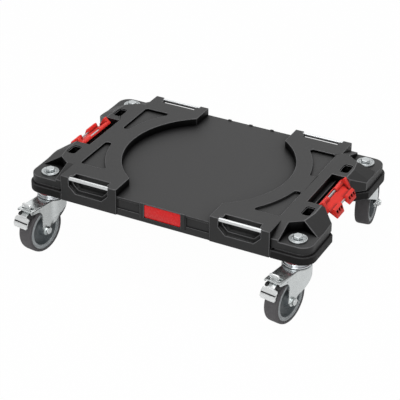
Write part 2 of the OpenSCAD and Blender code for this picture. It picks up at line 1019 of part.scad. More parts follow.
module castor_head() {
    color(zinc_steel)
        rotate_extrude()
            polygon([
                [bolt_r + bolt_fit, hub_bottom], [hub_radius, hub_bottom], [hub_radius, head_under],
                [skirt_r, head_under], [skirt_r, fork_top + 1], [head_radius, fork_top + 1],
                [head_radius, castor_height], [bolt_r + bolt_fit, castor_height]
            ]);
}

module swivel_balls() {
    color(bright_steel)
        for (i = [0:ball_count - 1])
            rotate([0, 0, i * 360 / ball_count])
                translate([ball_circle, 0, ball_z])
                    sphere(ball_r, $fn = 48);
}

// Plan of the fork, drawn in by an inset and lengthened at its open end
module fork_plan(inset, tail) {
    circle(barrel_radius - inset);
    translate([0, -fork_half_width + inset])
        square([fork_reach + tail, 2 * (fork_half_width - inset)]);
}

// Points of a bend from one point to another, drawn towards a third
function bend(from, via, to) =
    [for (t = [0:0.125:1]) (1 - t) * (1 - t) * from + 2 * t * (1 - t) * via + t * t * to];

// Side view of the fork: tail, leg with its round tip, and the curved front edge
module fork_side() {
    leg_back = castor_trail + leg_tip;
    tail_z = fork_top - tail_height;
    tail_at = [pivot_reach + tail_slope, tail_z - tail_slope];
    heel_at = [leg_back + 1, tail_z - heel_drop];
    leg_at = [leg_back, tail_z - leg_drop];
    tip_at = [castor_trail - leg_tip * 0.8, wheel_r - leg_tip * 0.6];
    front_bend = [castor_trail - bend_reach, fork_top - bend_drop];
    front_at = [-barrel_radius, fork_top - front_height];
    polygon(concat(
        [[fork_reach, fork_top], [fork_reach, tail_z]], bend(tail_at, heel_at, leg_at),
        [[leg_back, wheel_r], [castor_trail, wheel_r]], bend(tip_at, front_bend, front_at),
        [[-barrel_radius, fork_top]]
    ));
    translate([castor_trail, wheel_r])
        circle(leg_tip);
}

module fork() {
    slot_start = tab_reach - slot_lead;
    slot_length = fork_reach - slot_strip - slot_start;
    slot_width = tab_width + 2.4;
    color(zinc_steel)
        difference() {
            union() {
                intersection() {
                    difference() {
                        linear_extrude(fork_top)
                            fork_plan(0, 0);
                        translate([0, 0, -1])
                            linear_extrude(fork_under + 1)
                                fork_plan(fork_sheet, 10);
                    }
                    translate([0, far, 0])
                        rotate([90, 0, 0])
                            linear_extrude(far * 2)
                                fork_side();
                }
                cylinder(h = crown_top, r = crown_radius);
            }
            translate([0, 0, -1])
                cylinder(h = fork_under + 1, r = crown_radius + 1);
            cylinder(h = castor_height, r = hub_radius + running_fit);
            translate([0, 0, ball_z])
                rotate_extrude()
                    translate([ball_circle, 0])
                        circle(ball_r + running_fit / 2);
            translate([slot_start, -slot_width / 2, fork_under - 1])
                cube([slot_length, slot_width, far]);
            translate([castor_trail, far, wheel_r])
                rotate([90, 0, 0])
                    cylinder(h = far * 2, r = axle_r + running_fit);
            pivot_bar(pivot_r + running_fit, far);
        }
}

// Axle bolt with its head on one leg and its nut on the other
module axle_bolt() {
    head = 6.4;
    flats = 1.4 * axle_diameter;
    nut = 0.8 * axle_diameter;
    tail = fork_half_width + nut + 3;
    color(zinc_steel)
        on_axle() {
            translate([0, 0, -fork_half_width - head]) {
                hexagon(flats, head);
                cylinder(h = fork_half_width + head + tail, r = axle_r);
            }
            translate([0, 0, fork_half_width])
                difference() {
                    hexagon(flats, nut);
                    translate([0, 0, -1])
                        cylinder(h = nut + 2, r = axle_r + running_fit);
                }
        }
}

module axle_sleeve() {
    half = fork_inner - running_fit;
    color(zinc_steel)
        on_axle()
            translate([0, 0, -half])
                ring(sleeve_r, axle_r + running_fit, 2 * half);
}

// Points of half a rim section, from the bore outwards
function rim_half_points() =
    let (
        hub = sleeve_r + 6,
        hub_half = fork_inner - play,
        rim_half = wheel_width / 2 - 1,
        web_half = 4,
        lip = tyre_seat_r - 8
    )
    [
        [sleeve_r + running_fit, hub_half], [hub - 1.5, hub_half], [hub, web_half + 4],
        [hub + 4, web_half], [lip - 4, web_half], [lip - 1, web_half + 4], [lip, rim_half],
        [tyre_seat_r, rim_half]
    ];

module wheel_rim() {
    half = rim_half_points();
    mirrored = [for (i = [len(half) - 1:-1:0]) [half[i][0], -half[i][1]]];
    color(grey_rim)
        on_axle()
            rotate_extrude()
                polygon(concat(half, mirrored));
}

module tyre() {
    half = wheel_width / 2;
    seat = tyre_seat_r + play;
    round_r = wheel_r - tyre_shoulder;
    round_w = half - tyre_shoulder;
    color(grey_tyre)
        on_axle()
            rotate_extrude()
                intersection() {
                    translate([seat, -half])
                        square([wheel_r - seat, 2 * half]);
                    union() {
                        translate([seat, -half])
                            square([round_r - seat, 2 * half]);
                        translate([seat, -round_w])
                            square([wheel_r - seat, 2 * round_w]);
                        for (w = [-round_w, round_w])
                            translate([round_r, w])
                                circle(tyre_shoulder);
                    }
                }
}

// Extrudes a side view across the castor, centred
module across(width) {
    translate([0, width / 2, 0])
        rotate([90, 0, 0])
            linear_extrude(width)
                children();
}

// Side view of the arm between the pivot and the pedal
module arm_side() {
    polygon([
        [pivot_reach, pivot_z - 3], [pivot_reach, pivot_z + 3],
        [tab_reach + 4, pivot_z + 2.5], [pedal_reach + 2, pivot_z - 6.5],
        [pedal_reach + 2, pivot_z - 10.5], [tab_reach + 4, pivot_z - 3]
    ]);
}

// Side view of the release tab, which leans outwards above the fork
module tab_side() {
    tab_top = fork_top + tab_rise;
    polygon([
        [tab_reach, pivot_z + 1], [tab_reach, fork_top - 1], [tab_reach + tab_lean, tab_top],
        [tab_reach + tab_sheet + tab_lean, tab_top - 1], [tab_reach + tab_sheet, fork_top - 2],
        [tab_reach + tab_sheet, pivot_z + 1]
    ]);
}

// Side view of the pedal, bent down at its end
module pedal_side() {
    pedal_end = pedal_reach + pedal_length;
    lip_z = pivot_z - pedal_drop;
    polygon([
        [pedal_reach, pivot_z - 9], [pedal_reach + 0.5, pivot_z - 5.5],
        [pedal_end - 4, pivot_z - 10.5], [pedal_end, lip_z + 8], [pedal_end, lip_z],
        [pedal_end - 3, lip_z], [pedal_end - 3.3, lip_z + 7.3], [pedal_end - 6.2, pivot_z - 13]
    ]);
}

// Round bar along the brake's pivot
module pivot_bar(radius, length) {
    translate([pivot_reach, 0, pivot_z])
        rotate([90, 0, 0])
            cylinder(h = length, r = radius, center = true);
}

// One stamped lever: release tab, arm round the pivot, and pedal
module brake_lever() {
    color(zinc_steel)
        difference() {
            union() {
                pivot_bar(pivot_knuckle, 2 * fork_inner - 4);
                across(arm_width)
                    arm_side();
                across(arm_width)
                    tab_side();
                intersection() {
                    across(tab_width)
                        tab_side();
                    translate([0, -far, fork_top + tab_neck])
                        cube([2 * far, 2 * far, far]);
                }
                across(pedal_width)
                    pedal_side();
            }
            pivot_bar(pivot_r + running_fit, far);
        }
}

// Black shoe under the brake arm, with a cheek on each side of it
module brake_shoe() {
    top = pivot_z - 3 - running_fit;
    front = pivot_reach + 15;
    toe = 3;
    color(black_rubber) {
        across(2 * fork_inner - 7)
            polygon([
                [pivot_reach + 6, top], [front, top], [front + toe, top - 5.5],
                [front, top - 8.5], [pivot_reach + 7, top - 4.5]
            ]);
        difference() {
            across(2 * fork_inner - 3)
                polygon([
                    [cheek_reach, top - 4], [cheek_reach, top + 3], [pedal_reach - 4, top + 2.5],
                    [pedal_reach - 1, top - 0.5], [pedal_reach - 3, top - 4.5]
                ]);
            translate([0, -arm_width / 2 - fit, 0])
                cube([2 * fork_reach, arm_width + 2 * fit, castor_height]);
        }
    }
}

module brake_pin() {
    color(zinc_steel)
        pivot_bar(pivot_r, 2 * fork_half_width + 2);
}

deck();
base_frame();
label_plate();
corner_bolts();
corner_washers();
thrust_washers();
castor_nuts();
base_screws();
swivel_seals();
for (c = CORNERS) {
    strike_bar(c);
    at_corner(c) castor_head();
    at_corner(c) swivel_balls();
    at_corner(c) fork();
    at_corner(c) axle_bolt();
    at_corner(c) axle_sleeve();
    at_corner(c) wheel_rim();
    at_corner(c) tyre();
    at_corner(c) brake_lever();
    at_corner(c) brake_shoe();
    at_corner(c) brake_pin();
}
for (s = SIDES) {
    latch(s[1]);
    latch_hinge_pin(s[1]);
    latch_cross_pin(s[1]);
}
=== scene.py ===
"""Looks of a rolling tool-box platform on four swivelling castors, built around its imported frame."""

import json
import logging
import math
from collections.abc import Iterable, Sequence
from dataclasses import dataclass, field
from enum import Enum

import bmesh
import bpy
import numpy as np
from bmesh.types import BMEdge, BMesh, BMFace, BMVert
from bpy.types import Material, Mesh, Node, NodeSocket, NodeTree
from mathutils import Matrix, Vector


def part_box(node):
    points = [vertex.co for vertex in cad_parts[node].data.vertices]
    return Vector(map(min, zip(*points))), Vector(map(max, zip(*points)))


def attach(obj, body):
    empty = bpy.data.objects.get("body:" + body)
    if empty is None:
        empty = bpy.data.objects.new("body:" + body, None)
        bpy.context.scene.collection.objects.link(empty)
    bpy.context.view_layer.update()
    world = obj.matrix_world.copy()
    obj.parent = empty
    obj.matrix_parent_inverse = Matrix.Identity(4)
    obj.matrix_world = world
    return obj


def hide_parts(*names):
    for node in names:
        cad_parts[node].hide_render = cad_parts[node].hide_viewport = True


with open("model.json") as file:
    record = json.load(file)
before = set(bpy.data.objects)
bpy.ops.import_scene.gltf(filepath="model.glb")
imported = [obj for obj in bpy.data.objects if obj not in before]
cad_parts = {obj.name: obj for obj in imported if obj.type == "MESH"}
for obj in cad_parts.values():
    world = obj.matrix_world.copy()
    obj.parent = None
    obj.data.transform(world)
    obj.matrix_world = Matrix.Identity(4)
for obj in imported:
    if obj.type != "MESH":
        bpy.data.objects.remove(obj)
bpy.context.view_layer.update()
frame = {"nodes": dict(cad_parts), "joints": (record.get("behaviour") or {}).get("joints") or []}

LOG = logging.getLogger("platform")
MM = 0.001
JOINTS = {joint["name"]: joint for joint in frame["joints"]}
WHITE = (1.0, 1.0, 1.0, 1.0)
BLACK = (0.0, 0.0, 0.0, 1.0)
# Points and faces that are this close in place and slope are one
SAME_POINT, SAME_FACE = 0.002 * MM, math.radians(0.4)
# Edges that bend more than these are rounded, shaded sharp, or the cut edges of a sheet
ROUNDED_BEND, SHARP_BEND, CUT_BEND = math.radians(24), math.radians(38), math.radians(50)
# Two edges that meet at more than this go on as one run
RUN_ANGLE = math.radians(140)
# Largest share of the room beside it that a rounded edge or a fillet takes
ROUND_SHARE, FILLET_SHARE = 0.42, 0.49
# A length, a slant and a reach below these count as none
NO_LENGTH, NO_SLANT, NO_REACH = 1e-9, 1e-12, 1e-6
# A closed rim shorter than this is that of a bore and keeps its edge
BORE_RIM = 60 * MM
# The fold between two faces larger than this is shaded sharp
FLAT_AREA = 300 * MM * MM
# Face mark of where a finish paints a highlight
HIGHLIGHT_MARK = "highlight_paint_mark"
# Most of a noise pattern lies between these values
NOISE_RANGE = (0.3, 0.7)
# Openness at which the shade painted into cavities is darkest and at which it ends, and the share of colour
# left where it is darkest
PAINTED_SHADE_RANGE, DARKEST_PAINTED_SHADE = (0.40, 0.96), 0.03
# The exported model has this specular level where the shader's own is linked
EXPORTED_SPECULAR = 0.5

Outline = list[Vector]
Triple = tuple[float, float, float]


class Corner(Enum):
    """The four corners that carry a castor."""

    FRONT_LEFT = "front_left"
    FRONT_RIGHT = "front_right"
    REAR_LEFT = "rear_left"
    REAR_RIGHT = "rear_right"


class Side(Enum):
    """The two short sides that carry a latch."""

    LEFT = "left"
    RIGHT = "right"


class Grain(Enum):
    """The way a surface's grain runs, as a stretch of its pattern along X, Y and Z."""

    EVEN = (1.0, 1.0, 1.0)
    DRAWN = (0.04, 1.0, 1.0)


def to_linear(colour: str, shade: float = 1.0) -> tuple[float, float, float, float]:
    """Turns an sRGB hex colour into linear light.

    Args:
        colour: Hex colour such as "#3b3b3d".
        shade: Factor on the linear light.

    Returns:
        Linear red, green, blue and a full alpha.
    """
    light = []
    for start in (1, 3, 5):
        value = int(colour[start:start + 2], 16) / 255
        value = value / 12.92 if value <= 0.04045 else ((value + 0.055) / 1.055) ** 2.4
        light.append(value * shade)
    return (*light, 1.0)


def add_node(tree: NodeTree, kind: str, settings: dict | None = None,
             links: dict | None = None) -> Node:
    """Adds a shader node.

    Args:
        tree: Node tree that takes the node.
        kind: Blender's name for the kind of node, after ShaderNode.
        settings: Values by input (name or number) or by property.
        links: Output sockets by the input that they feed.

    Returns:
        The new node.
    """
    node = tree.nodes.new("ShaderNode" + kind)
    for key, value in (settings or {}).items():
        if isinstance(key, int) or key in node.inputs:
            node.inputs[key].default_value = value
        else:
            setattr(node, key, value)
    for key, socket in (links or {}).items():
        tree.links.new(socket, node.inputs[key])
    return node


@dataclass(frozen=True)
class Finish:
    """A surface: what it is made of and how that was worked, with any painted edge highlight and painted
    cavity shade. Sizes of patterns are in millimetres.
    """

    name: str
    colour: str
    roughness: float
    metallic: float = 0.0
    grain_mm: float = 1.5
    depth_mm: float = 0.03
    gloss_change: float = 0.06
    blotch_mm: float = 40.0
    blotch: float = 0.08
    painted_highlight: float = 0.0
    highlight_colour: str = "#9a9a9c"
    specular: float = EXPORTED_SPECULAR
    coat: float = 0.0
    coat_roughness: float = 0.12
    # Reach of the shade painted into cavities, none at zero
    painted_shade_mm: float = 0.0
    grain: Grain = Grain.EVEN

    def build(self) -> Material:
        """Makes the material.

        Returns:
            A node material with colour, gloss and relief from the grain, and any painted edge highlight and
            painted cavity shade.
        """
        material = bpy.data.materials.new(self.name)
        material.use_nodes = True
        tree = material.node_tree
        tree.nodes.clear()
        place = add_node(tree, "TexCoord").outputs["Object"]
        run = add_node(tree, "Mapping", {"Scale": self.grain.value}, {"Vector": place})
        blotch = add_node(tree, "TexNoise", {"Scale": 1 / (self.blotch_mm * MM), "Detail": 3.0},
                          {"Vector": place})
        grain = add_node(tree, "TexNoise", {"Scale": 1 / (self.grain_mm * MM), "Detail": 2.0},
                         {"Vector": run.outputs["Vector"]})
        colour = add_node(tree, "Mix",
                          {"data_type": "RGBA", 6: to_linear(self.colour, 1 - self.blotch),
                           7: to_linear(self.colour, 1 + self.blotch)},
                          {0: blotch.outputs["Fac"]}).outputs[2]
        # Painted highlight on the marked faces
        if self.painted_highlight:
            colour = self.paint_highlights(tree, colour)
        gloss = add_node(tree, "MapRange",
                         {"From Min": NOISE_RANGE[0], "From Max": NOISE_RANGE[1],
                          "To Min": self.roughness - self.gloss_change,
                          "To Max": self.roughness + self.gloss_change},
                         {"Value": grain.outputs["Fac"]})
        relief = add_node(tree, "Bump", {"Strength": 1.0, "Distance": self.depth_mm * MM},
                          {"Height": grain.outputs["Fac"]})
        links = {"Roughness": gloss.outputs["Result"], "Normal": relief.outputs["Normal"]}
        # Painted shade: the colour darkens towards black in cavities, and so does the specular level where
        # it is linked
        if self.painted_shade_mm:
            reach = self.painted_cavity_shade(tree)
            colour = add_node(tree, "Mix", {"data_type": "RGBA", 6: BLACK},
                              {0: reach, 7: colour}).outputs[2]
            if self.specular == EXPORTED_SPECULAR:
                shine = add_node(tree, "Math", {"operation": "MULTIPLY", 1: self.specular}, {0: reach})
                links["Specular IOR Level"] = shine.outputs[0]
        shader = add_node(tree, "BsdfPrincipled",
                          {"Metallic": self.metallic, "Specular IOR Level": self.specular,
                           "Coat Weight": self.coat, "Coat Roughness": self.coat_roughness},
                          {"Base Color": colour, **links})
        add_node(tree, "OutputMaterial", {}, {"Surface": shader.outputs["BSDF"]})
        return material

    def painted_cavity_shade(self, tree: NodeTree) -> NodeSocket:
        """Paints shade into deep corners, by how open the surroundings of a point are.

        Args:
            tree: The material's node tree.

        Returns:
            One in the open, close to zero deep in a cavity.
        """
        around = add_node(tree, "AmbientOcclusion",
                          {"samples": 8, "only_local": True, "Distance": self.painted_shade_mm * MM})
        return add_node(tree, "MapRange",
                        {"From Min": PAINTED_SHADE_RANGE[0], "From Max": PAINTED_SHADE_RANGE[1], "To Min": DARKEST_PAINTED_SHADE},
                        {"Value": around.outputs["AO"]}).outputs["Result"]

    def paint_highlights(self, tree: NodeTree, colour: NodeSocket) -> NodeSocket:
        """Paints a highlight into the colour of the marked faces, such as the rounds on edges.

        Args:
            tree: The material's node tree.
            colour: The colour away from the painted highlights.

        Returns:
            The colour with the painted highlights.
        """
        edge = add_node(tree, "Attribute", {"attribute_name": HIGHLIGHT_MARK})
        highlight_share = add_node(tree, "Math", {"operation": "MULTIPLY", 1: self.painted_highlight},
                          {0: edge.outputs["Fac"]})
        return add_node(tree, "Mix", {"data_type": "RGBA", 7: to_linear(self.highlight_colour)},
                        {0: highlight_share.outputs[0], 6: colour}).outputs[2]


class Finishes(Enum):
    """Every finish on the object.

    Real grain is finer than a millimetre. It is drawn at 1 to 6 mm, as coarse as it needs to show.
    """

    # Injection-moulded polypropylene, black, with a fine spark-eroded grain: broad soft highlights, with a
    # highlight painted on the edge rounds and shade painted into cavities
    DECK = Finish("moulded_polypropylene_fine", "#0b0b0c", 0.48, grain_mm=1.2, depth_mm=0.05,
                  gloss_change=0.05, blotch_mm=70, blotch=0.06, painted_highlight=0.36, painted_shade_mm=55)
    # The same plastic with a coarser grain on the bumpers, so that it looks flatter and browner, with a
    # faint highlight painted on the edge rounds
    BASE = Finish("moulded_polypropylene_coarse", "#151414", 0.56, grain_mm=2.0, depth_mm=0.12,
                  gloss_change=0.08, blotch_mm=50, painted_highlight=0.12, specular=0.18)
    # Glass-filled nylon in signal red: satin, with a clean bright colour and shade painted into its cavities
    RED = Finish("moulded_nylon_red", "#ff4037", 0.42, depth_mm=0.02,
                 blotch_mm=25, blotch=0.05, specular=0.35, painted_shade_mm=9)
    # Polycarbonate plate with a clear coat: flat and glossy
    LABEL = Finish("polycarbonate_plate_red", "#ee1d1e", 0.25, grain_mm=4, depth_mm=0.01,
                   blotch=0.04, specular=0.3, coat=0.1)
    # Bright zinc plate on steel: pale, slightly cloudy, with a blue cast
    ZINC = Finish("zinc_plated_steel", "#b6babb", 0.30, metallic=1.0, grain_mm=3.0, depth_mm=0.01,
                  blotch_mm=9, blotch=0.10)
    # Pressed sheet under the same plating: a wider, softer highlight
    SHEET = Finish("zinc_plated_pressed_sheet", "#d6dada", 0.28, metallic=1.0, grain_mm=6.0,
                   depth_mm=0.004, gloss_change=0.04, blotch_mm=16, blotch=0.09)
    # Pedal and release tab: the pressed zinc plate painted brighter and milkier, as lit
    BRIGHT = Finish("zinc_plated_steel_painted_lit", "#f4f6f6", 0.22, metallic=0.45, grain_mm=3.0,
                    depth_mm=0.01, gloss_change=0.04, blotch_mm=14, blotch=0.05)
    # Nylon seal ring at the swivel, darker than the latches
    SEAL = Finish("moulded_nylon_dark_red", "#8f1d2e", 0.5, depth_mm=0.02,
                  blotch_mm=25, blotch=0.05, specular=0.3)
    # Drawn bar, polished: fine streaks along its length
    BAR = Finish("drawn_bright_steel", "#dcdedf", 0.38, metallic=1.0, depth_mm=0.01,
                 gloss_change=0.05, blotch_mm=20, blotch=0.05, grain=Grain.DRAWN)
    # Chromed swivel head: a mirror with a faint cloudiness
    CHROME = Finish("chromed_steel", "#d2d5d8", 0.12, metallic=1.0, grain_mm=4.0, depth_mm=0.005,
                    gloss_change=0.03, blotch_mm=12, blotch=0.06)
    # Dark strip in the pedal's groove: painted shade
    STRIPE = Finish("painted_groove_shade", "#140d0f", 0.45, grain_mm=2.0, depth_mm=0.02, blotch_mm=10, blotch=0.15)
    # Moulded polypropylene wheel centre, grey, satin: the darker grey is painted shade in the dish and the
    # light grey of the outer ring is painted light
    RIM = Finish("moulded_polypropylene_grey", "#62696c", 0.45, grain_mm=2.0,
                 blotch_mm=30, blotch=0.05, painted_highlight=1.0, highlight_colour="#b9bfc1")
    # Thermoplastic rubber tread: warm dark grey, dull
    TYRE = Finish("thermoplastic_rubber_grey", "#5c5a5c", 0.66, grain_mm=1.6, depth_mm=0.06, blotch_mm=25)
    # Moulded black rubber of the brake shoe
    RUBBER = Finish("moulded_rubber_black", "#151516", 0.6, depth_mm=0.05, blotch_mm=15, blotch=0.1)


MATERIALS: dict[Finishes, Material] = {}


def material(finish: Finishes) -> Material:
    """Gives the material of a finish, made on first use.

    Args:
        finish: The finish.

    Returns:
        Its one material.
    """
    if finish not in MATERIALS:
        MATERIALS[finish] = finish.value.build()
    return MATERIALS[finish]


def dress(node: str, finish: Finishes) -> None:
    """Gives a carried-over CAD node its finish.

    Args:
        node: Name of the node.
        finish: Finish that it takes.
    """
    data = frame["nodes"][node].data
    data.materials.clear()
    data.materials.append(material(finish))
    LOG.info("%s keeps its solid, in %s", node, finish.value.name)


def add_piece(name: str, data: Mesh, finish: Finishes, body: str,
              nodes: Iterable[str] = ()) -> None:
    """Puts a mesh into the scene as a piece of the object.

    Args:
        name: Name of the piece.
        data: Its mesh, in the frame's own place.
        finish: Its finish.
        body: Body that it moves with.
        nodes: CAD nodes that it stands for.
    """
    piece = bpy.data.objects.new(name, data)
    bpy.context.scene.collection.objects.link(piece)
    data.materials.clear()
    data.materials.append(material(finish))
    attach(piece, body)
    if nodes:
        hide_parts(*nodes)
    LOG.info("%s made with %d faces", name, len(data.polygons))


def settle(data: Mesh, *modifiers: tuple[str, dict]) -> Mesh:
    """Applies modifiers to a mesh and smooths its shading.

    Args:
        data: Mesh to work on.
        modifiers: Kind and settings of each modifier, in order.

    Returns:
        The finished mesh.
    """
    folds = {edge.index for edge in data.edges if edge.use_edge_sharp}
    data.set_sharp_from_angle(angle=SHARP_BEND)
    for index in folds:
        data.edges[index].use_edge_sharp = True
    holder = bpy.data.objects.new("holder", data)
    bpy.context.scene.collection.objects.link(holder)
    for kind, settings in (*modifiers, ("WEIGHTED_NORMAL", {"keep_sharp": True, "weight": 100})):
        modifier = holder.modifiers.new(kind, kind)
        for key, value in settings.items():
            setattr(modifier, key, value)
    bpy.context.view_layer.update()
    made = bpy.data.meshes.new_from_object(holder.evaluated_get(bpy.context.evaluated_depsgraph_get()))
    bpy.data.objects.remove(holder)
    return made


def smooth_data(work: BMesh) -> Mesh:
    """Ends an edit with smooth faces.

    Args:
        work: The mesh under edit, which is freed.

    Returns:
        The mesh data.
    """
    for face in work.faces:
        face.smooth = True
    data = bpy.data.meshes.new("work")
    work.to_mesh(data)
    work.free()
    return data


def edge_room(vert: BMVert, sharp: set[BMEdge]) -> float:
    """Works out how far a round may reach from a corner.

    Along a smooth run of edges only the edges that leave the run count.

    Args:
        vert: The corner.
        sharp: Edges that get a round.

    Returns:
        Length of the shortest edge that limits the round.
    """
    run = [edge for edge in vert.link_edges if edge in sharp]
    edges = list(vert.link_edges)
    if len(run) == 2:
        a, b = (edge.other_vert(vert).co - vert.co for edge in run)
        if a.length > 0 and b.length > 0 and a.angle(b) > RUN_ANGLE:
            edges = [edge for edge in edges if edge not in run] or edges
    return min(edge.calc_length() for edge in edges)


def bore_rims(sharp: set[BMEdge]) -> set[BMEdge]:
    """Finds the short closed rims among sharp edges, which are those of bores.

    Args:
        sharp: Edges that may get a round.

    Returns:
        The edges of every closed rim up to the length of a bore's.
    """
    rims = set()
    left = set(sharp)
    while left:
        rim, ahead, closed = set(), [left.pop()], True
        while ahead:
            edge = ahead.pop()
            rim.add(edge)
            for vert in edge.verts:
                near = [other for other in vert.link_edges if other in sharp]
                closed = closed and len(near) == 2
                for other in near:
                    if other in left:
                        left.remove(other)
                        ahead.append(other)
        if closed and sum(edge.calc_length() for edge in rim) < BORE_RIM:
            rims |= rim
    return rims


def limit_to_width(face: BMFace, limits: dict[BMEdge, float]) -> None:
    """Lowers the limit of each edge of a face to the width of the face at its middle.

    Args:
        face: The face.
        limits: Widest reach so far of the edges that get a round.
    """
    loops = list(face.loops)
    if not any(loop.edge in limits for loop in loops):
        return
    along = loops[0].edge.verts[1].co - loops[0].edge.verts[0].co
    along.normalize()
    aside = face.normal.cross(along)
    flat = np.array([(loop.vert.co.dot(along), loop.vert.co.dot(aside)) for loop in loops])
    ways = np.roll(flat, -1, axis=0) - flat
    for index, loop in enumerate(loops):
        length = float(np.hypot(*ways[index]))
        if loop.edge not in limits or length < NO_LENGTH:
            continue
        inward = np.array((-ways[index][1], ways[index][0])) / length
        offset = flat - (flat[index] + ways[index] / 2)
        slant = inward[0] * ways[:, 1] - inward[1] * ways[:, 0]
        slant[np.abs(slant) < NO_SLANT] = np.inf
        reach = (offset[:, 0] * ways[:, 1] - offset[:, 1] * ways[:, 0]) / slant
        share = (offset[:, 0] * inward[1] - offset[:, 1] * inward[0]) / slant
        met = reach[(share >= 0) & (share <= 1) & (reach > NO_REACH)]
        if len(met):
            limits[loop.edge] = min(limits[loop.edge], float(met.min()))


def rounded_piece(node: str, radius: float, finish: Finishes, body: str,
                  segments: int = 2) -> None:
    """Replaces a CAD node by its own shape with rounded edges.

    Args:
        node: Name of the node.
        radius: Round on its outer edges, in millimetres, where there is room.
        finish: Its finish.
        body: Body that it moves with.
        segments: Faces across each round.
    """
    work = bmesh.new()
    work.from_mesh(frame["nodes"][node].data)
    bmesh.ops.remove_doubles(work, verts=work.verts, dist=SAME_POINT)
    bmesh.ops.dissolve_limit(work, angle_limit=SAME_FACE, verts=work.verts, edges=work.edges)
    weight = work.edges.layers.float.new("bevel_weight_edge")
    sharp = {edge for edge in work.edges if edge.is_convex and edge.calc_face_angle() > ROUNDED_BEND}
    sharp -= bore_rims(sharp)
    room = {vert: edge_room(vert, sharp) for vert in work.verts if vert.link_edges}
    limits = {edge: min(room[vert] for vert in edge.verts) for edge in sharp}
    for face in work.faces:
        limit_to_width(face, limits)
    for edge, limit in limits.items():
        edge[weight] = min(1.0, ROUND_SHARE * limit / (radius * MM))
    for edge in work.edges:
        edge.smooth = not all(face.calc_area() > FLAT_AREA for face in edge.link_faces)
    data = smooth_data(work)
    for _ in range(2):
        data.materials.append(None)
    made = settle(data, ("BEVEL", {"width": radius * MM, "segments": segments, "limit_method": "WEIGHT",
                                   "use_clamp_overlap": False, "miter_outer": "MITER_ARC", "material": 1}))
    # The rounds have the second material slot, which becomes the mark of their painted highlight
    slots = np.zeros(len(made.polygons), dtype=np.int32)
    made.polygons.foreach_get("material_index", slots)
    made.polygons.foreach_set("material_index", np.zeros_like(slots))
    mark_faces(made, slots)
    add_piece(node + "_moulded", made, finish, body, [node])


def mark_faces(data: Mesh, marks: np.ndarray) -> None:
    """Marks the faces on which a finish paints a highlight, by a one for each of them."""
    layer = data.attributes.new(HIGHLIGHT_MARK, "FLOAT", "FACE")
    layer.data.foreach_set("value", marks.astype(np.float32))


def shares(steps: int) -> list[float]:
    """Gives the shares from nought to one at equal steps."""
    return [step / steps for step in range(steps + 1)]


def on_curve(start: Vector, bend: Vector, end: Vector, share: float) -> Vector:
    """Gives the point at a share of the way from start to end, along a curve drawn towards bend."""
    return start.lerp(bend, share).lerp(bend.lerp(end, share), share)


def filleted(corners: Sequence[Triple], steps: int = 5) -> Outline:
    """Rounds the corners of a closed outline.

    Args:
        corners: Corners as x, y and the reach of the round along each side.
        steps: Segments along each round.

    Returns:
        Points of the outline, in order.
    """
    points: Outline = []
    for index, (x, y, reach) in enumerate(corners):
        here = Vector((x, y))
        if not reach:
            points.append(here)
            continue
        ends = []
        for other in (corners[index - 1], corners[(index + 1) % len(corners)]):
            way = Vector(other[:2]) - here
            ends.append(here + way.normalized() * min(reach, FILLET_SHARE * way.length))
        points += [on_curve(ends[0], here, ends[1], share) for share in shares(steps)]
    return points


def lathe(profile: Outline, place: Matrix, steps: int = 96) -> Mesh:
    """Turns a closed section about its axis.

    Args:
        profile: Points of the section as radius and height.
        place: Puts the turned shape, with its axis along Z, into the frame.
        steps: Segments round the axis.

    Returns:
        The turned mesh.
    """
    work = bmesh.new()
    rings = []
    for step in range(steps):
        turn = Matrix.Rotation(math.tau * step / steps, 4, "Z")
        rings.append([work.verts.new(place @ turn @ Vector((p.x, 0, p.y))) for p in profile])
    join(work, rings + rings[:1], False)
    return smooth_mesh(work)


def tube(inner: float, outer: float, half: float, soft: float, place: Matrix, steps: int) -> Mesh:
    """Turns a tube by its two radii, half its length and the round on its outer edges."""
    section = filleted([(inner, -half, 0), (outer, -half, soft), (outer, half, soft), (inner, half, 0)], 3)
    return lathe(section, place, steps)


def cross_axis(place: Matrix, reach: float, height: float) -> Matrix:
    """Gives the place of a shape that is turned about an axis across a castor."""
    return place @ Matrix.Translation((reach, 0, height)) @ Matrix.Rotation(-math.pi / 2, 4, "X")


def sheet_metal(work: BMesh, place: Matrix, thickness: float, edge: float) -> Mesh:
    """Turns an open skin into bent sheet with softened cut edges.

    Args:
        work: The skin under edit, in millimetres with its top upwards, which is freed.
        place: The castor's place.
        thickness: Thickness of the sheet, inwards from the skin, in millimetres.
        edge: Round on the cut edges, in millimetres.

    Returns:
        The sheet's mesh.
    """
    bmesh.ops.recalc_face_normals(work, faces=work.faces)
    if sum(face.normal.z for face in work.faces) < 0:
        bmesh.ops.reverse_faces(work, faces=work.faces)
    work.transform(place)
    return settle(smooth_data(work), ("SOLIDIFY", {"thickness": thickness * MM, "offset": -1}),
                  ("BEVEL", {"width": edge * MM, "segments": 2, "limit_method": "ANGLE",
                             "angle_limit": CUT_BEND}))


def smooth_mesh(work: BMesh) -> Mesh:
    """Ends an edit with faces outwards and smooth up to sharp edges.

    Args:
        work: The mesh under edit, which is freed.

    Returns:
        The mesh data.
    """
    bmesh.ops.recalc_face_normals(work, faces=work.faces)
    data = smooth_data(work)
    data.set_sharp_from_angle(angle=SHARP_BEND)
    return data


def across(side: Outline, half: float, soft: float, place: Matrix) -> Mesh:
    """Extrudes a side view by half its width to both sides of its plane, with softened ends."""
    levels = ((half, soft), (half - soft, 0.0), (soft - half, 0.0), (-half, soft))
    return layered(side, levels, place @ Matrix.Rotation(math.pi / 2, 4, "X"))


def join(work: BMesh, rings: Sequence[Sequence[BMVert]], capped: bool) -> None:
    """Joins each ring of points to the next.

    Args:
        work: The mesh under edit.
        rings: Rings with as many points each.
        capped: Whether the first and the last ring are closed.
    """
    for a, b in zip(rings, rings[1:]):
        for k in range(len(a)):
            work.faces.new((a[k - 1], a[k], b[k], b[k - 1]))
    for ring in (rings[0], rings[-1]) if capped else ():
        work.faces.new(ring)


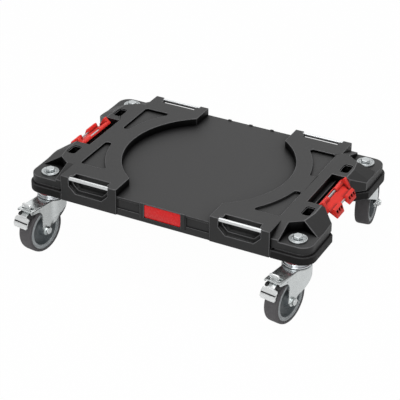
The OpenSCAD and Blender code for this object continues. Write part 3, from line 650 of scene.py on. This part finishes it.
def layered(outline: Outline, levels: Sequence[tuple[float, float]], place: Matrix,
            foot: float = -math.inf) -> Mesh:
    """Stacks layers of one outline into a solid.

    Args:
        outline: Closed outline in X and Y.
        levels: Height of each layer and its inset from the outline.
        place: Puts the solid into the frame.
        foot: Points of the outline up to this Y aren't inset.

    Returns:
        The solid's mesh.
    """
    middle = sum(outline, Vector((0, 0))) / len(outline)
    work = bmesh.new()
    rings = []
    for height, inset in levels:
        points = [p - (p - middle).normalized() * inset if p.y > foot else p for p in outline]
        rings.append([work.verts.new((p.x, p.y, height)) for p in points])
    join(work, rings, True)
    work.transform(place)
    return smooth_mesh(work)


@dataclass
class PlatformBody:
    """The two mouldings, the label and what is fixed to them. Lengths are in millimetres."""

    body: str = "platform"
    deck_round: float = 1.3
    base_round: float = 2.2
    bar_round: float = 0.8
    bolt_round: float = 1.8
    label_corner: float = 4.0
    label_lip: float = 0.6
    washer_bore: float = 6.6
    washer_steps: tuple[float, float, float, float] = (2.6, 3.6, 5.4, 6.2)
    washer_groove: float = 1.0

    def build(self) -> None:
        """Builds and dresses every piece of the platform."""
        rounded_piece("deck", self.deck_round, Finishes.DECK, self.body)
        rounded_piece("base_frame", self.base_round, Finishes.BASE, self.body, 3)
        self.build_label()
        rounded_piece("corner_bolts", self.bolt_round, Finishes.ZINC, self.body, 3)
        self.build_washers()
        for node in ("thrust_washers", "castor_nuts", "base_screws"):
            dress(node, Finishes.ZINC)
        for corner in Corner:
            node = f"strike_bar_{corner.value}"
            rounded_piece(node, self.bar_round, Finishes.BAR, self.body)
        dress("swivel_seals", Finishes.SEAL)

    def build_washers(self) -> None:
        """Turns the large washers, which have a raised rim and a raised seat under the bolt's head."""
        low, high = (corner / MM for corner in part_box("corner_washers"))
        rim, groove, land, seat = self.washer_steps
        bore, floor = self.washer_bore, high.z - self.washer_groove
        for corner in Corner:
            king = Vector(JOINTS[f"castor_{corner.value}_swivel"]["pos_m"]) / MM
            edge = high.x - king.x if king.x > 0 else king.x - low.x
            section = filleted([(bore, low.z, 0), (edge, low.z, 0.4), (edge, high.z, 0.9),
                                (edge - rim, high.z, 0.9), (edge - groove, floor, 0.5),
                                (edge - land, floor, 0.5), (edge - seat, high.z, 0.5), (bore, high.z, 0)], 3)
            place = Matrix.Scale(MM, 4) @ Matrix.Translation((king.x, king.y, 0))
            add_piece(f"corner_washer_{corner.value}_turned", lathe(section, place, 64), Finishes.ZINC,
                      self.body, ["corner_washers"])

    def build_label(self) -> None:
        """Builds the bare label plate with round corners and a soft rim."""
        low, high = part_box("label_plate")
        size = high - low
        middle = (low + high) / 2
        corner, lip = self.label_corner * MM, self.label_lip * MM
        work = bmesh.new()
        layers = []
        for inset, depth in ((0.0, 0.0), (0.0, 1.0 - lip / size.y), (lip, 1.0)):
            edge = [(sx * (size.x / 2 - inset), sz * (size.z / 2 - inset), corner)
                    for sx, sz in ((-1, -1), (1, -1), (1, 1), (-1, 1))]
            y = high.y - depth * size.y
            layers.append([work.verts.new((middle.x + p.x, y, middle.z + p.y)) for p in filleted(edge)])
        join(work, layers, True)
        add_piece("label_plate_bare", smooth_mesh(work), Finishes.LABEL, self.body,
                  ["label_plate"])


@dataclass
class SideLatch:
    """One folding latch, its two pins and the lip of the well under it. Lengths are in millimetres."""

    side: Side
    edge_round: float = 0.7
    lip_inner: float = 274.0
    lip_outer: float = 283.0
    lip_top: float = 159.9
    lip_bottom: float = 156.6
    lip_half: float = 60.8
    lip_corner: float = 1.2
    lip_soft: float = 0.3

    def build_lip(self) -> None:
        """Carries the well's floor on under the latch, so that no light comes up between them."""
        turn = 0.0 if self.side is Side.RIGHT else math.pi
        place = Matrix.Rotation(turn, 4, "Z") @ Matrix.Scale(MM, 4)
        inner, outer, corner = self.lip_inner, self.lip_outer, self.lip_corner
        edge = filleted([(inner, self.lip_bottom, 0), (outer, self.lip_bottom, corner),
                         (outer, self.lip_top, corner), (inner, self.lip_top, 0)], 3)
        add_piece(f"latch_well_lip_{self.side.value}", across(edge, self.lip_half, self.lip_soft, place),
                  Finishes.DECK, "platform")

    def build(self) -> None:
        """Builds the red latch and the lip, and dresses the pins."""
        self.build_lip()
        name = f"latch_{self.side.value}"
        rounded_piece(name, self.edge_round, Finishes.RED, name)
        for pin in ("hinge", "cross"):
            dress(f"latch_{pin}_pin_{self.side.value}", Finishes.ZINC)


@dataclass
class PressedFork:
    """The pressed steel fork of a castor. Lengths are in millimetres, with the trail along +X."""

    place: Matrix
    reach: float = 84.0
    half_width: float = 19.0
    barrel: float = 30.0
    leg_blend: float = 14.0
    sheet: float = 2.5
    top: float = 111.0
    fold: float = 3.0
    tail_height: float = 5.5
    axle_at: tuple[float, float] = (40.0, 50.0)
    tip: float = 11.0
    tail_bend: tuple[tuple[float, float], ...] = ((64.5, 101.0), (52.0, 98.0), (51.0, 75.5))
    front_bend: tuple[tuple[float, float], ...] = ((31.2, 43.4), (8.0, 82.0), (-30.0, 94.0))
    hub_hole: float = 11.05
    slot: Triple = (66.5, 79.5, 12.7)
    slot_corner: float = 2.0
    cut_edge: float = 0.4
    bend_steps: int = 8
    tip_turn: int = 150
    tip_step: int = 12
    blend_steps: int = 6
    barrel_steps: int = 30
    fold_steps: int = 5
    wall_steps: int = 3
    hole_steps: int = 32

    def leg_stations(self) -> Outline:
        """Follows the lower edge of a leg from the tail to the front of its tip.

        Returns:
            Points as distance along the trail and height.
        """
        start, bend, end = (Vector(point) for point in self.tail_bend)
        points = [Vector((self.reach, self.top - self.tail_height))]
        points += [on_curve(start, bend, end, share) for share in shares(self.bend_steps)]
        for degrees in range(0, -self.tip_turn, -self.tip_step):
            angle = math.radians(degrees)
            points.append(Vector(self.axle_at) + self.tip * Vector((math.cos(angle), math.sin(angle))))
        return points

    def front_height(self, u: float) -> float:
        """Gives the height of the curved front edge.

        Args:
            u: Distance along the trail.

        Returns:
            Height of the edge there.
        """
        start, bend, end = (Vector(point) for point in self.front_bend)
        a, b, c = start.x - 2 * bend.x + end.x, 2 * (bend.x - start.x), max(0.0, start.x - u)
        share = 2 * c / (math.sqrt(b * b - 4 * a * c) - b)
        return on_curve(start, bend, end, share).y

    def columns(self) -> list[tuple[Vector, Vector, float]]:
        """Walks round the plan from one tail corner to the middle of the barrel.

        Returns:
            For each column its place, its outward direction and the height of its lower edge.
        """
        half, blend = self.half_width, self.leg_blend
        centre = Vector((math.sqrt((self.barrel + blend) ** 2 - (half + blend) ** 2), -half - blend))
        stations = self.leg_stations()
        found = [(Vector((p.x, -half)), Vector((0, -1)), p.y) for p in stations if p.x > centre.x]
        turn = math.atan2(centre.x, -centre.y)
        for share in shares(self.blend_steps):
            out = Vector((math.sin(turn * share), -math.cos(turn * share)))
            at = centre - out * blend
            found.append((at, out, self.front_height(at.x)))
        first = math.atan2(centre.y, centre.x)
        for share in shares(self.barrel_steps)[1:]:
            angle = first - (math.pi + first) * share
            out = Vector((math.cos(angle), math.sin(angle)))
            at = out * self.barrel
            found.append((at, out, self.front_height(at.x)))
        return found

    def section(self, at: Vector, out: Vector, low: float) -> Outline:
        """Draws one column from the top plate over the fold to the lower edge.

        Args:
            at: Place of the column in plan.
            out: Its outward direction.
            low: Height of its lower edge.

        Returns:
            Points in three dimensions.
        """
        points = []
        for share in shares(self.fold_steps):
            angle = math.pi / 2 * share
            inset = at - out * self.fold * (1 - math.sin(angle))
            points.append(Vector((inset.x, inset.y, self.top - self.fold * (1 - math.cos(angle)))))
        under = self.top - self.fold
        return points + [Vector((at.x, at.y, under + (low - under) * share))
                         for share in shares(self.wall_steps)[1:]]

    def mesh(self) -> Mesh:
        """Makes the fork's shell.

        Returns:
            The fork's mesh.
        """
        half = self.columns()
        mirrored = [(Vector((at.x, -at.y)), Vector((out.x, -out.y)), low) for at, out, low in half[-2::-1]]
        work = bmesh.new()
        grid = [[work.verts.new(point) for point in self.section(*column)] for column in half + mirrored]
        for a, b in zip(grid, grid[1:]):
            for k in range(len(a) - 1):
                work.faces.new((a[k], b[k], b[k + 1], a[k + 1]))
        rim = [column[0] for column in grid]
        start, end, wide = self.slot
        slot = filleted([(x, y, self.slot_corner) for x, y in
                         ((start, -wide), (end, -wide), (end, wide), (start, wide))], 3)
        angles = [math.tau * share for share in shares(self.hole_steps)[1:]]
        hole = [Vector((math.cos(angle), math.sin(angle))) * self.hub_hole for angle in angles]
        edges = self.loop(work, rim)
        for outline in (slot, hole):
            edges += self.loop(work, [work.verts.new((p.x, p.y, self.top)) for p in outline])
        bmesh.ops.triangle_fill(work, use_beauty=True, use_dissolve=False, edges=edges)
        return sheet_metal(work, self.place, self.sheet, self.cut_edge)

    @staticmethod
    def loop(work: BMesh, verts: Sequence[BMVert]) -> list[BMEdge]:
        """Joins points into a closed loop of edges, using those that exist."""
        pairs = list(zip(verts, list(verts[1:]) + [verts[0]]))
        return [work.edges.get(pair) or work.edges.new(pair) for pair in pairs]


@dataclass
class BrakeLever:
    """The stamped brake lever: release tab, arm and pedal. Lengths are in millimetres."""

    place: Matrix
    pivot: tuple[float, float] = (60.0, 103.5)
    tab_at: float = 73.5
    tab_top: float = 123.0
    tab_half: float = 11.5
    tab_neck: float = 8.0
    tab_thickness: float = 3.0
    tab_foot: float = 1.0
    tab_shift: float = 1.2
    tab_lean: float = 2.6
    tab_soft: float = 0.5
    tab_rim: float = 1.3
    tab_sunk: float = 0.5
    arm_half: float = 8.0
    pedal_at: float = 89.0
    pedal_half: float = 17.0
    pedal_thickness: float = 3.0
    pedal_edge: float = 0.5
    pedal_columns: int = 6
    # Points of the pedal's upper face from the neck to the lip: out, down and narrower by
    pedal_rows: tuple[Triple, ...] = (
        (-1.5, 4.1, 9.0), (0.2, 5.3, 9.0), (0.9, 5.8, 1.6), (1.8, 6.5, 0.3), (2.8, 7.2, 0.0),
        (6.6, 10.1, 0.0), (8.0, 12.4, 0.0), (7.4, 13.0, 0.0), (8.5, 15.4, 0.0), (9.4, 15.2, 0.0),
        (10.6, 18.0, 0.0), (11.0, 20.0, 0.0), (11.0, 23.4, 0.0), (10.9, 25.2, 0.8),
        (10.6, 26.4, 2.4), (10.2, 27.0, 4.6))
    knuckle: float = 4.5
    knuckle_bore: float = 2.55
    knuckle_half: float = 14.5
    soft: float = 0.6
    pin_radius: float = 2.5
    pin_bore: float = 0.05
    pin_soft: float = 0.3

    def tab_mesh(self) -> Mesh:
        """Makes the upright release tab, a pad with a raised rim on a narrower neck.

        Returns:
            The tab's mesh.
        """
        foot = self.pivot[1] + self.tab_foot
        height = self.tab_top - foot
        half, neck = self.tab_half, self.tab_neck
        right = [(neck, 0, 0), (neck, 0.48 * height, 2), (half, 0.60 * height, 2.5),
                 (half, 0.86 * height, 3.5), (half - 3.4, height, 3.5)]
        left = [(-x, y, reach) for x, y, reach in reversed(right)]
        face, soft, rim, sunk = self.tab_thickness / 2, self.tab_soft, self.tab_rim, self.tab_sunk
        levels = ((-face, soft), (soft - face, 0.0), (face - soft, 0.0), (face, soft), (face, rim),
                  (face - sunk, rim + sunk))
        lean = Matrix.Rotation(math.atan2(self.tab_lean, height), 4, "Y")
        stand = Matrix.Translation((self.tab_at + self.tab_shift, 0, foot)) @ lean \
            @ Matrix.Rotation(math.pi / 2, 4, "Z") @ Matrix.Rotation(math.pi / 2, 4, "X")
        return layered(filleted(right + left), levels, self.place @ stand, 0.0)

    def pedal_mesh(self) -> Mesh:
        """Makes the bent pedal with its groove and rolled lip.

        Returns:
            The pedal's mesh.
        """
        u, z = self.pedal_at, self.pivot[1]
        columns = self.pedal_columns
        work = bmesh.new()
        grid = [[work.verts.new((u + out, (self.pedal_half - less) * (2 * share - 1), z - down))
                 for share in shares(columns)] for out, down, less in self.pedal_rows]
        for a, b in zip(grid, grid[1:]):
            for k in range(columns):
                work.faces.new((a[k], a[k + 1], b[k + 1], b[k]))
        return sheet_metal(work, self.place, self.pedal_thickness, self.pedal_edge)

    def groove_shade_mesh(self) -> Mesh:
        """Makes the dark strip that paints shade into the pedal's groove.

        Returns:
            The line's mesh.
        """
        u, z = self.pedal_at, self.pivot[1]
        line = filleted([(u + 7.3, z - 13.1, 0), (u + 8.5, z - 15.6, 0), (u + 8.8, z - 15.4, 0),
                         (u + 7.6, z - 12.9, 0)])
        return across(line, self.pedal_half - 0.4, 0.05, self.place)

    def arm_mesh(self) -> Mesh:
        """Makes the arm between the pivot and the pedal.

        Returns:
            The arm's mesh.
        """
        u, z = self.pivot
        side = filleted([
            (u - 2, z - 3, 2), (u - 2, z + 3, 2), (self.tab_at + 4, z + 2.5, 4),
            (self.pedal_at + 2, z - 6.6, 0), (self.pedal_at + 1, z - 9.5, 0), (self.tab_at + 4, z - 3, 4)])
        return across(side, self.arm_half, self.soft, self.place)

    def knuckle_mesh(self) -> Mesh:
        """Makes the curl round the pivot pin."""
        axis = cross_axis(self.place, *self.pivot)
        return tube(self.knuckle_bore, self.knuckle, self.knuckle_half, self.soft, axis, 32)

    def pin_mesh(self, half: float) -> Mesh:
        """Makes the pivot pin by half its length."""
        axis = cross_axis(self.place, *self.pivot)
        return tube(self.pin_bore, self.pin_radius, half, self.pin_soft, axis, 24)


@dataclass
class SwivelCastor:
    """One castor: head, pressed fork, wheel and brake. Lengths are in millimetres."""

    corner: Corner
    wheel_radius: float = 50.0
    wheel_width: float = 30.0
    tyre_seat: float = 41.3
    tyre_shoulder: float = 8.0
    rim_seat: float = 41.0
    rim_edge: float = 42.8
    rim_lip: float = 35.6
    bead_drop: float = 1.5
    rim_half: float = 14.0
    rim_web: float = 4.0
    rim_hub: float = 13.45
    rim_bore: float = 7.5
    hub_half: float = 16.2
    head_radius: float = 29.0
    head_neck: float = 26.0
    head_bottom: float = 112.0
    head_top: float = 125.0
    crown: float = 24.4
    crown_top: float = 113.0
    crown_sunk: float = 2.0
    bead_gap: float = 0.3
    lit_ring_width: float = 1.5
    small_round: float = 0.6
    place: Matrix = field(init=False)
    axle: Matrix = field(init=False)
    fork: PressedFork = field(init=False)
    lever: BrakeLever = field(init=False)

    def __post_init__(self) -> None:
        """Finds the castor's place from its joints."""
        name = self.corner.value
        king = Vector(JOINTS[f"castor_{name}_swivel"]["pos_m"])
        axle = Vector(JOINTS[f"wheel_{name}_roll"]["pos_m"])
        trail = axle - king
        turn = Matrix.Rotation(math.atan2(trail.y, trail.x), 4, "Z")
        self.place = Matrix.Translation((king.x, king.y, 0)) @ turn @ Matrix.Scale(MM, 4)
        self.axle = cross_axis(self.place, math.hypot(trail.x, trail.y) / MM, axle.z / MM)
        self.fork = PressedFork(self.place)
        self.lever = BrakeLever(self.place)

    def node(self, part: str) -> str:
        """Gives the CAD node of one of the castor's parts."""
        return f"{part}_{self.corner.value}"

    def build(self) -> None:
        """Builds and dresses the castor."""
        self.build_wheel()
        self.build_fork()
        self.build_brake()
        self.build_head()

    def build_wheel(self) -> None:
        """Turns the tyre and the dished wheel centre."""
        body = self.node("wheel")
        half, outer, seat = self.wheel_width / 2, self.wheel_radius, self.tyre_seat
        bead = half - self.bead_drop
        inner = self.rim_edge + self.bead_gap
        flank = [(outer, half, self.tyre_shoulder), (inner, half, 0.8), (inner, bead, 0), (seat, bead, 0)]
        tyre = filleted([(r, -h, reach) for r, h, reach in reversed(flank)] + flank, 8)
        add_piece(self.node("tyre") + "_turned", lathe(tyre, self.axle), Finishes.TYRE, body,
                  [self.node("tyre")])
        side = [(self.rim_bore, self.hub_half, 0.6), (self.rim_hub - 1.5, self.hub_half, 1.0),
                (self.rim_hub, self.rim_web + 4, 5), (self.rim_hub + 4, self.rim_web, 6),
                (self.rim_lip - 5, self.rim_web, 8), (self.rim_lip - 0.5, self.rim_half, 1.6),
                (self.rim_edge, self.rim_half, 0.3), (self.rim_edge, self.rim_half - 0.4, 0),
                (self.rim_seat, self.rim_half - 0.4, 0)]
        profile = filleted(side + [(r, -h, reach) for r, h, reach in reversed(side)], 6)
        rim = lathe(profile, self.axle)
        # The outer ring is painted light grey as lit, and the dish keeps the darker grey as painted shade
        ring = np.array([point.x > self.rim_lip - self.lit_ring_width for point in profile])
        mark_faces(rim, np.tile(ring & np.roll(ring, 1), len(rim.polygons) // len(profile)))
        add_piece(self.node("wheel_rim") + "_turned", rim, Finishes.RIM, body,
                  [self.node("wheel_rim")])

    def build_fork(self) -> None:
        """Presses the fork, turns its crown and brake pin and dresses the axle."""
        body, fork = self.node("castor"), self.node("fork")
        add_piece(fork + "_pressed", self.fork.mesh(), Finishes.SHEET, body, [fork])
        inner, outer, soft = self.fork.hub_hole, self.crown, self.small_round
        low, top = self.fork.top - self.crown_sunk, self.crown_top
        crown = filleted([(inner, low, 0), (outer, low, 0), (outer, top, soft), (inner, top, soft)], 3)
        add_piece(fork + "_crown", lathe(crown, self.place, 64), Finishes.SHEET, body)
        rounded_piece(self.node("axle_bolt"), self.small_round, Finishes.SHEET, body)
        for part, finish in (("swivel_balls", Finishes.BAR), ("axle_sleeve", Finishes.ZINC)):
            dress(self.node(part), finish)
        pin = self.node("brake_pin")
        add_piece(pin + "_turned", self.lever.pin_mesh(self.fork.half_width), Finishes.SHEET, body,
                  [pin])

    def build_brake(self) -> None:
        """Makes the brake lever's sheet parts and its shoe."""
        body, node, lever = self.node("brake"), self.node("brake_lever"), self.lever
        # The pedal and the tab take zinc painted lighter, as lit
        parts = (("tab", lever.tab_mesh, Finishes.BRIGHT), ("arm", lever.arm_mesh, Finishes.SHEET),
                 ("pedal", lever.pedal_mesh, Finishes.BRIGHT),
                 ("knuckle", lever.knuckle_mesh, Finishes.SHEET))
        for part, make, finish in parts:
            add_piece(f"{node}_{part}", make(), finish, body, [node])
        # A dark strip paints shade into the pedal's groove
        add_piece(f"{node}_stripe", lever.groove_shade_mesh(), Finishes.STRIPE, body)
        rounded_piece(self.node("brake_shoe"), self.small_round, Finishes.RUBBER, body)

    def build_head(self) -> None:
        """Turns the flared swivel head."""
        lip, neck, low = self.head_radius, self.head_neck, self.head_bottom
        shell = [(neck - 3, self.head_top, 0), (neck, self.head_top, 0.5), (neck, low + 9.8, 0.8),
                 (lip - 0.6, low + 8.6, 1.6), (lip - 0.6, low + 6.0, 1.6), (neck + 0.6, low + 4.8, 0.5),
                 (neck + 0.6, low + 4.0, 0.5), (lip, low + 2.8, 1.0), (lip, low, 1.0),
                 (neck - 1, low, 1), (neck - 3, low + 9, 0)]
        add_piece(self.node("castor_head") + "_turned", lathe(filleted(shell, 6), self.place),
                  Finishes.CHROME, "platform", [self.node("castor_head")])


@dataclass
class Studio:
    """Pale floor, soft light and the camera of the photograph."""

    azimuth: float = 27.48
    elevation: float = 30.60
    distance: float = 2.9925
    roll: float = 0.23
    lens: float = 138.24
    sensor: float = 36.0
    target: Triple = (0.06057, -0.15528, 0.182)
    floor_half: float = 6.0
    backdrop_share: float = 0.985
    mirror_share: float = 0.50
    floor_colour: str = "#f2f2f2"
    fill_light: float = 0.06
    lamp_aim: Triple = (0.0, 0.0, 0.1)

    def build(self) -> None:
        """Sets up floor, world, lamps and camera."""
        self.build_floor()
        self.build_world()
        self.add_lamp("rear_softbox", (-1.2, 3.4, 2.4), 3.6, 26)
        self.add_lamp("overhead_softbox", (0.0, 0.2, 2.4), 2.0, 33)
        self.add_lamp("front_softbox", (0.6, -2.6, 1.7), 2.0, 36)
        self.build_camera()
        bpy.context.scene.view_settings.view_transform = "Standard"

    def seen(self, tree: NodeTree, share: float) -> NodeSocket:
        """Gives the share of plain white that a ray from the camera or off metal sees.

        Args:
            tree: Node tree of the floor or the world.
            share: Share for a ray from the camera.

        Returns:
            A socket that is the share for those rays and zero for the rest.
        """
        path = add_node(tree, "LightPath").outputs
        direct = add_node(tree, "Math", {"operation": "MULTIPLY", 1: share},
                          {0: path["Is Camera Ray"]})
        mirrored = add_node(tree, "Math", {"operation": "MAXIMUM"},
                            {0: path["Is Glossy Ray"], 1: path["Is Transmission Ray"]})
        dimmed = add_node(tree, "Math", {"operation": "MULTIPLY", 1: self.mirror_share},
                          {0: mirrored.outputs[0]})
        return add_node(tree, "Math", {"operation": "MAXIMUM"},
                        {0: direct.outputs[0], 1: dimmed.outputs[0]}).outputs[0]

    def build_floor(self) -> None:
        """Lays a pale floor that keeps a faint shadow."""
        half = self.floor_half
        data = bpy.data.meshes.new("floor")
        data.from_pydata([(-half, -half, 0), (half, -half, 0), (half, half, 0), (-half, half, 0)], [],
                         [(0, 1, 2, 3)])
        floor = bpy.data.objects.new("floor", data)
        bpy.context.scene.collection.objects.link(floor)
        paper = bpy.data.materials.new("matt_paper_sweep")
        paper.use_nodes = True
        tree = paper.node_tree
        tree.nodes.clear()
        matt = add_node(tree, "BsdfDiffuse", {"Color": to_linear(self.floor_colour)})
        white = add_node(tree, "Emission", {"Color": WHITE, "Strength": 1.0})
        mix = add_node(tree, "MixShader", {},
                       {0: self.seen(tree, self.backdrop_share), 1: matt.outputs[0], 2: white.outputs[0]})
        add_node(tree, "OutputMaterial", {}, {"Surface": mix.outputs[0]})
        data.materials.append(paper)

    def build_world(self) -> None:
        """Makes a white surround that gives a little fill light."""
        world = bpy.data.worlds.new("white_surround")
        bpy.context.scene.world = world
        world.use_nodes = True
        tree = world.node_tree
        tree.nodes.clear()
        fill = add_node(tree, "Background", {"Color": WHITE, "Strength": self.fill_light})
        white = add_node(tree, "Background", {"Color": WHITE, "Strength": 1.0})
        mix = add_node(tree, "MixShader", {},
                       {0: self.seen(tree, 1.0), 1: fill.outputs[0], 2: white.outputs[0]})
        add_node(tree, "OutputWorld", {}, {"Surface": mix.outputs[0]})

    def add_lamp(self, name: str, at: Triple, size: float, power: float) -> None:
        """Hangs a square softbox.

        Args:
            name: Name of the lamp.
            at: Its place.
            size: Side of its face, in metres.
            power: Its power in watts.
        """
        data = bpy.data.lights.new(name, "AREA")
        data.shape = "SQUARE"
        data.size = size
        data.energy = power
        lamp = bpy.data.objects.new(name, data)
        lamp.location = at
        lamp.rotation_mode = "QUATERNION"
        lamp.rotation_quaternion = (Vector(self.lamp_aim) - Vector(at)).to_track_quat("-Z", "Y")
        bpy.context.scene.collection.objects.link(lamp)

    def build_camera(self) -> None:
        """Places the camera at the photograph's viewing angle."""
        turn = Matrix.Rotation(math.radians(self.azimuth), 4, "Z") \
            @ Matrix.Rotation(math.radians(90 - self.elevation), 4, "X") \
            @ Matrix.Rotation(math.radians(self.roll), 4, "Z")
        data = bpy.data.cameras.new("camera")
        data.lens = self.lens
        data.sensor_width = self.sensor
        camera = bpy.data.objects.new("camera", data)
        back = Matrix.Translation((0, 0, self.distance))
        camera.matrix_world = Matrix.Translation(self.target) @ turn @ back
        bpy.context.scene.collection.objects.link(camera)
        bpy.context.scene.camera = camera


def main() -> None:
    """Builds the studio and every sub-assembly in order."""
    logging.basicConfig(level=logging.INFO)
    Studio().build()
    PlatformBody().build()
    for side in Side:
        SideLatch(side).build()
    for corner in Corner:
        SwivelCastor(corner).build()


if __name__ == "__main__":
    main()
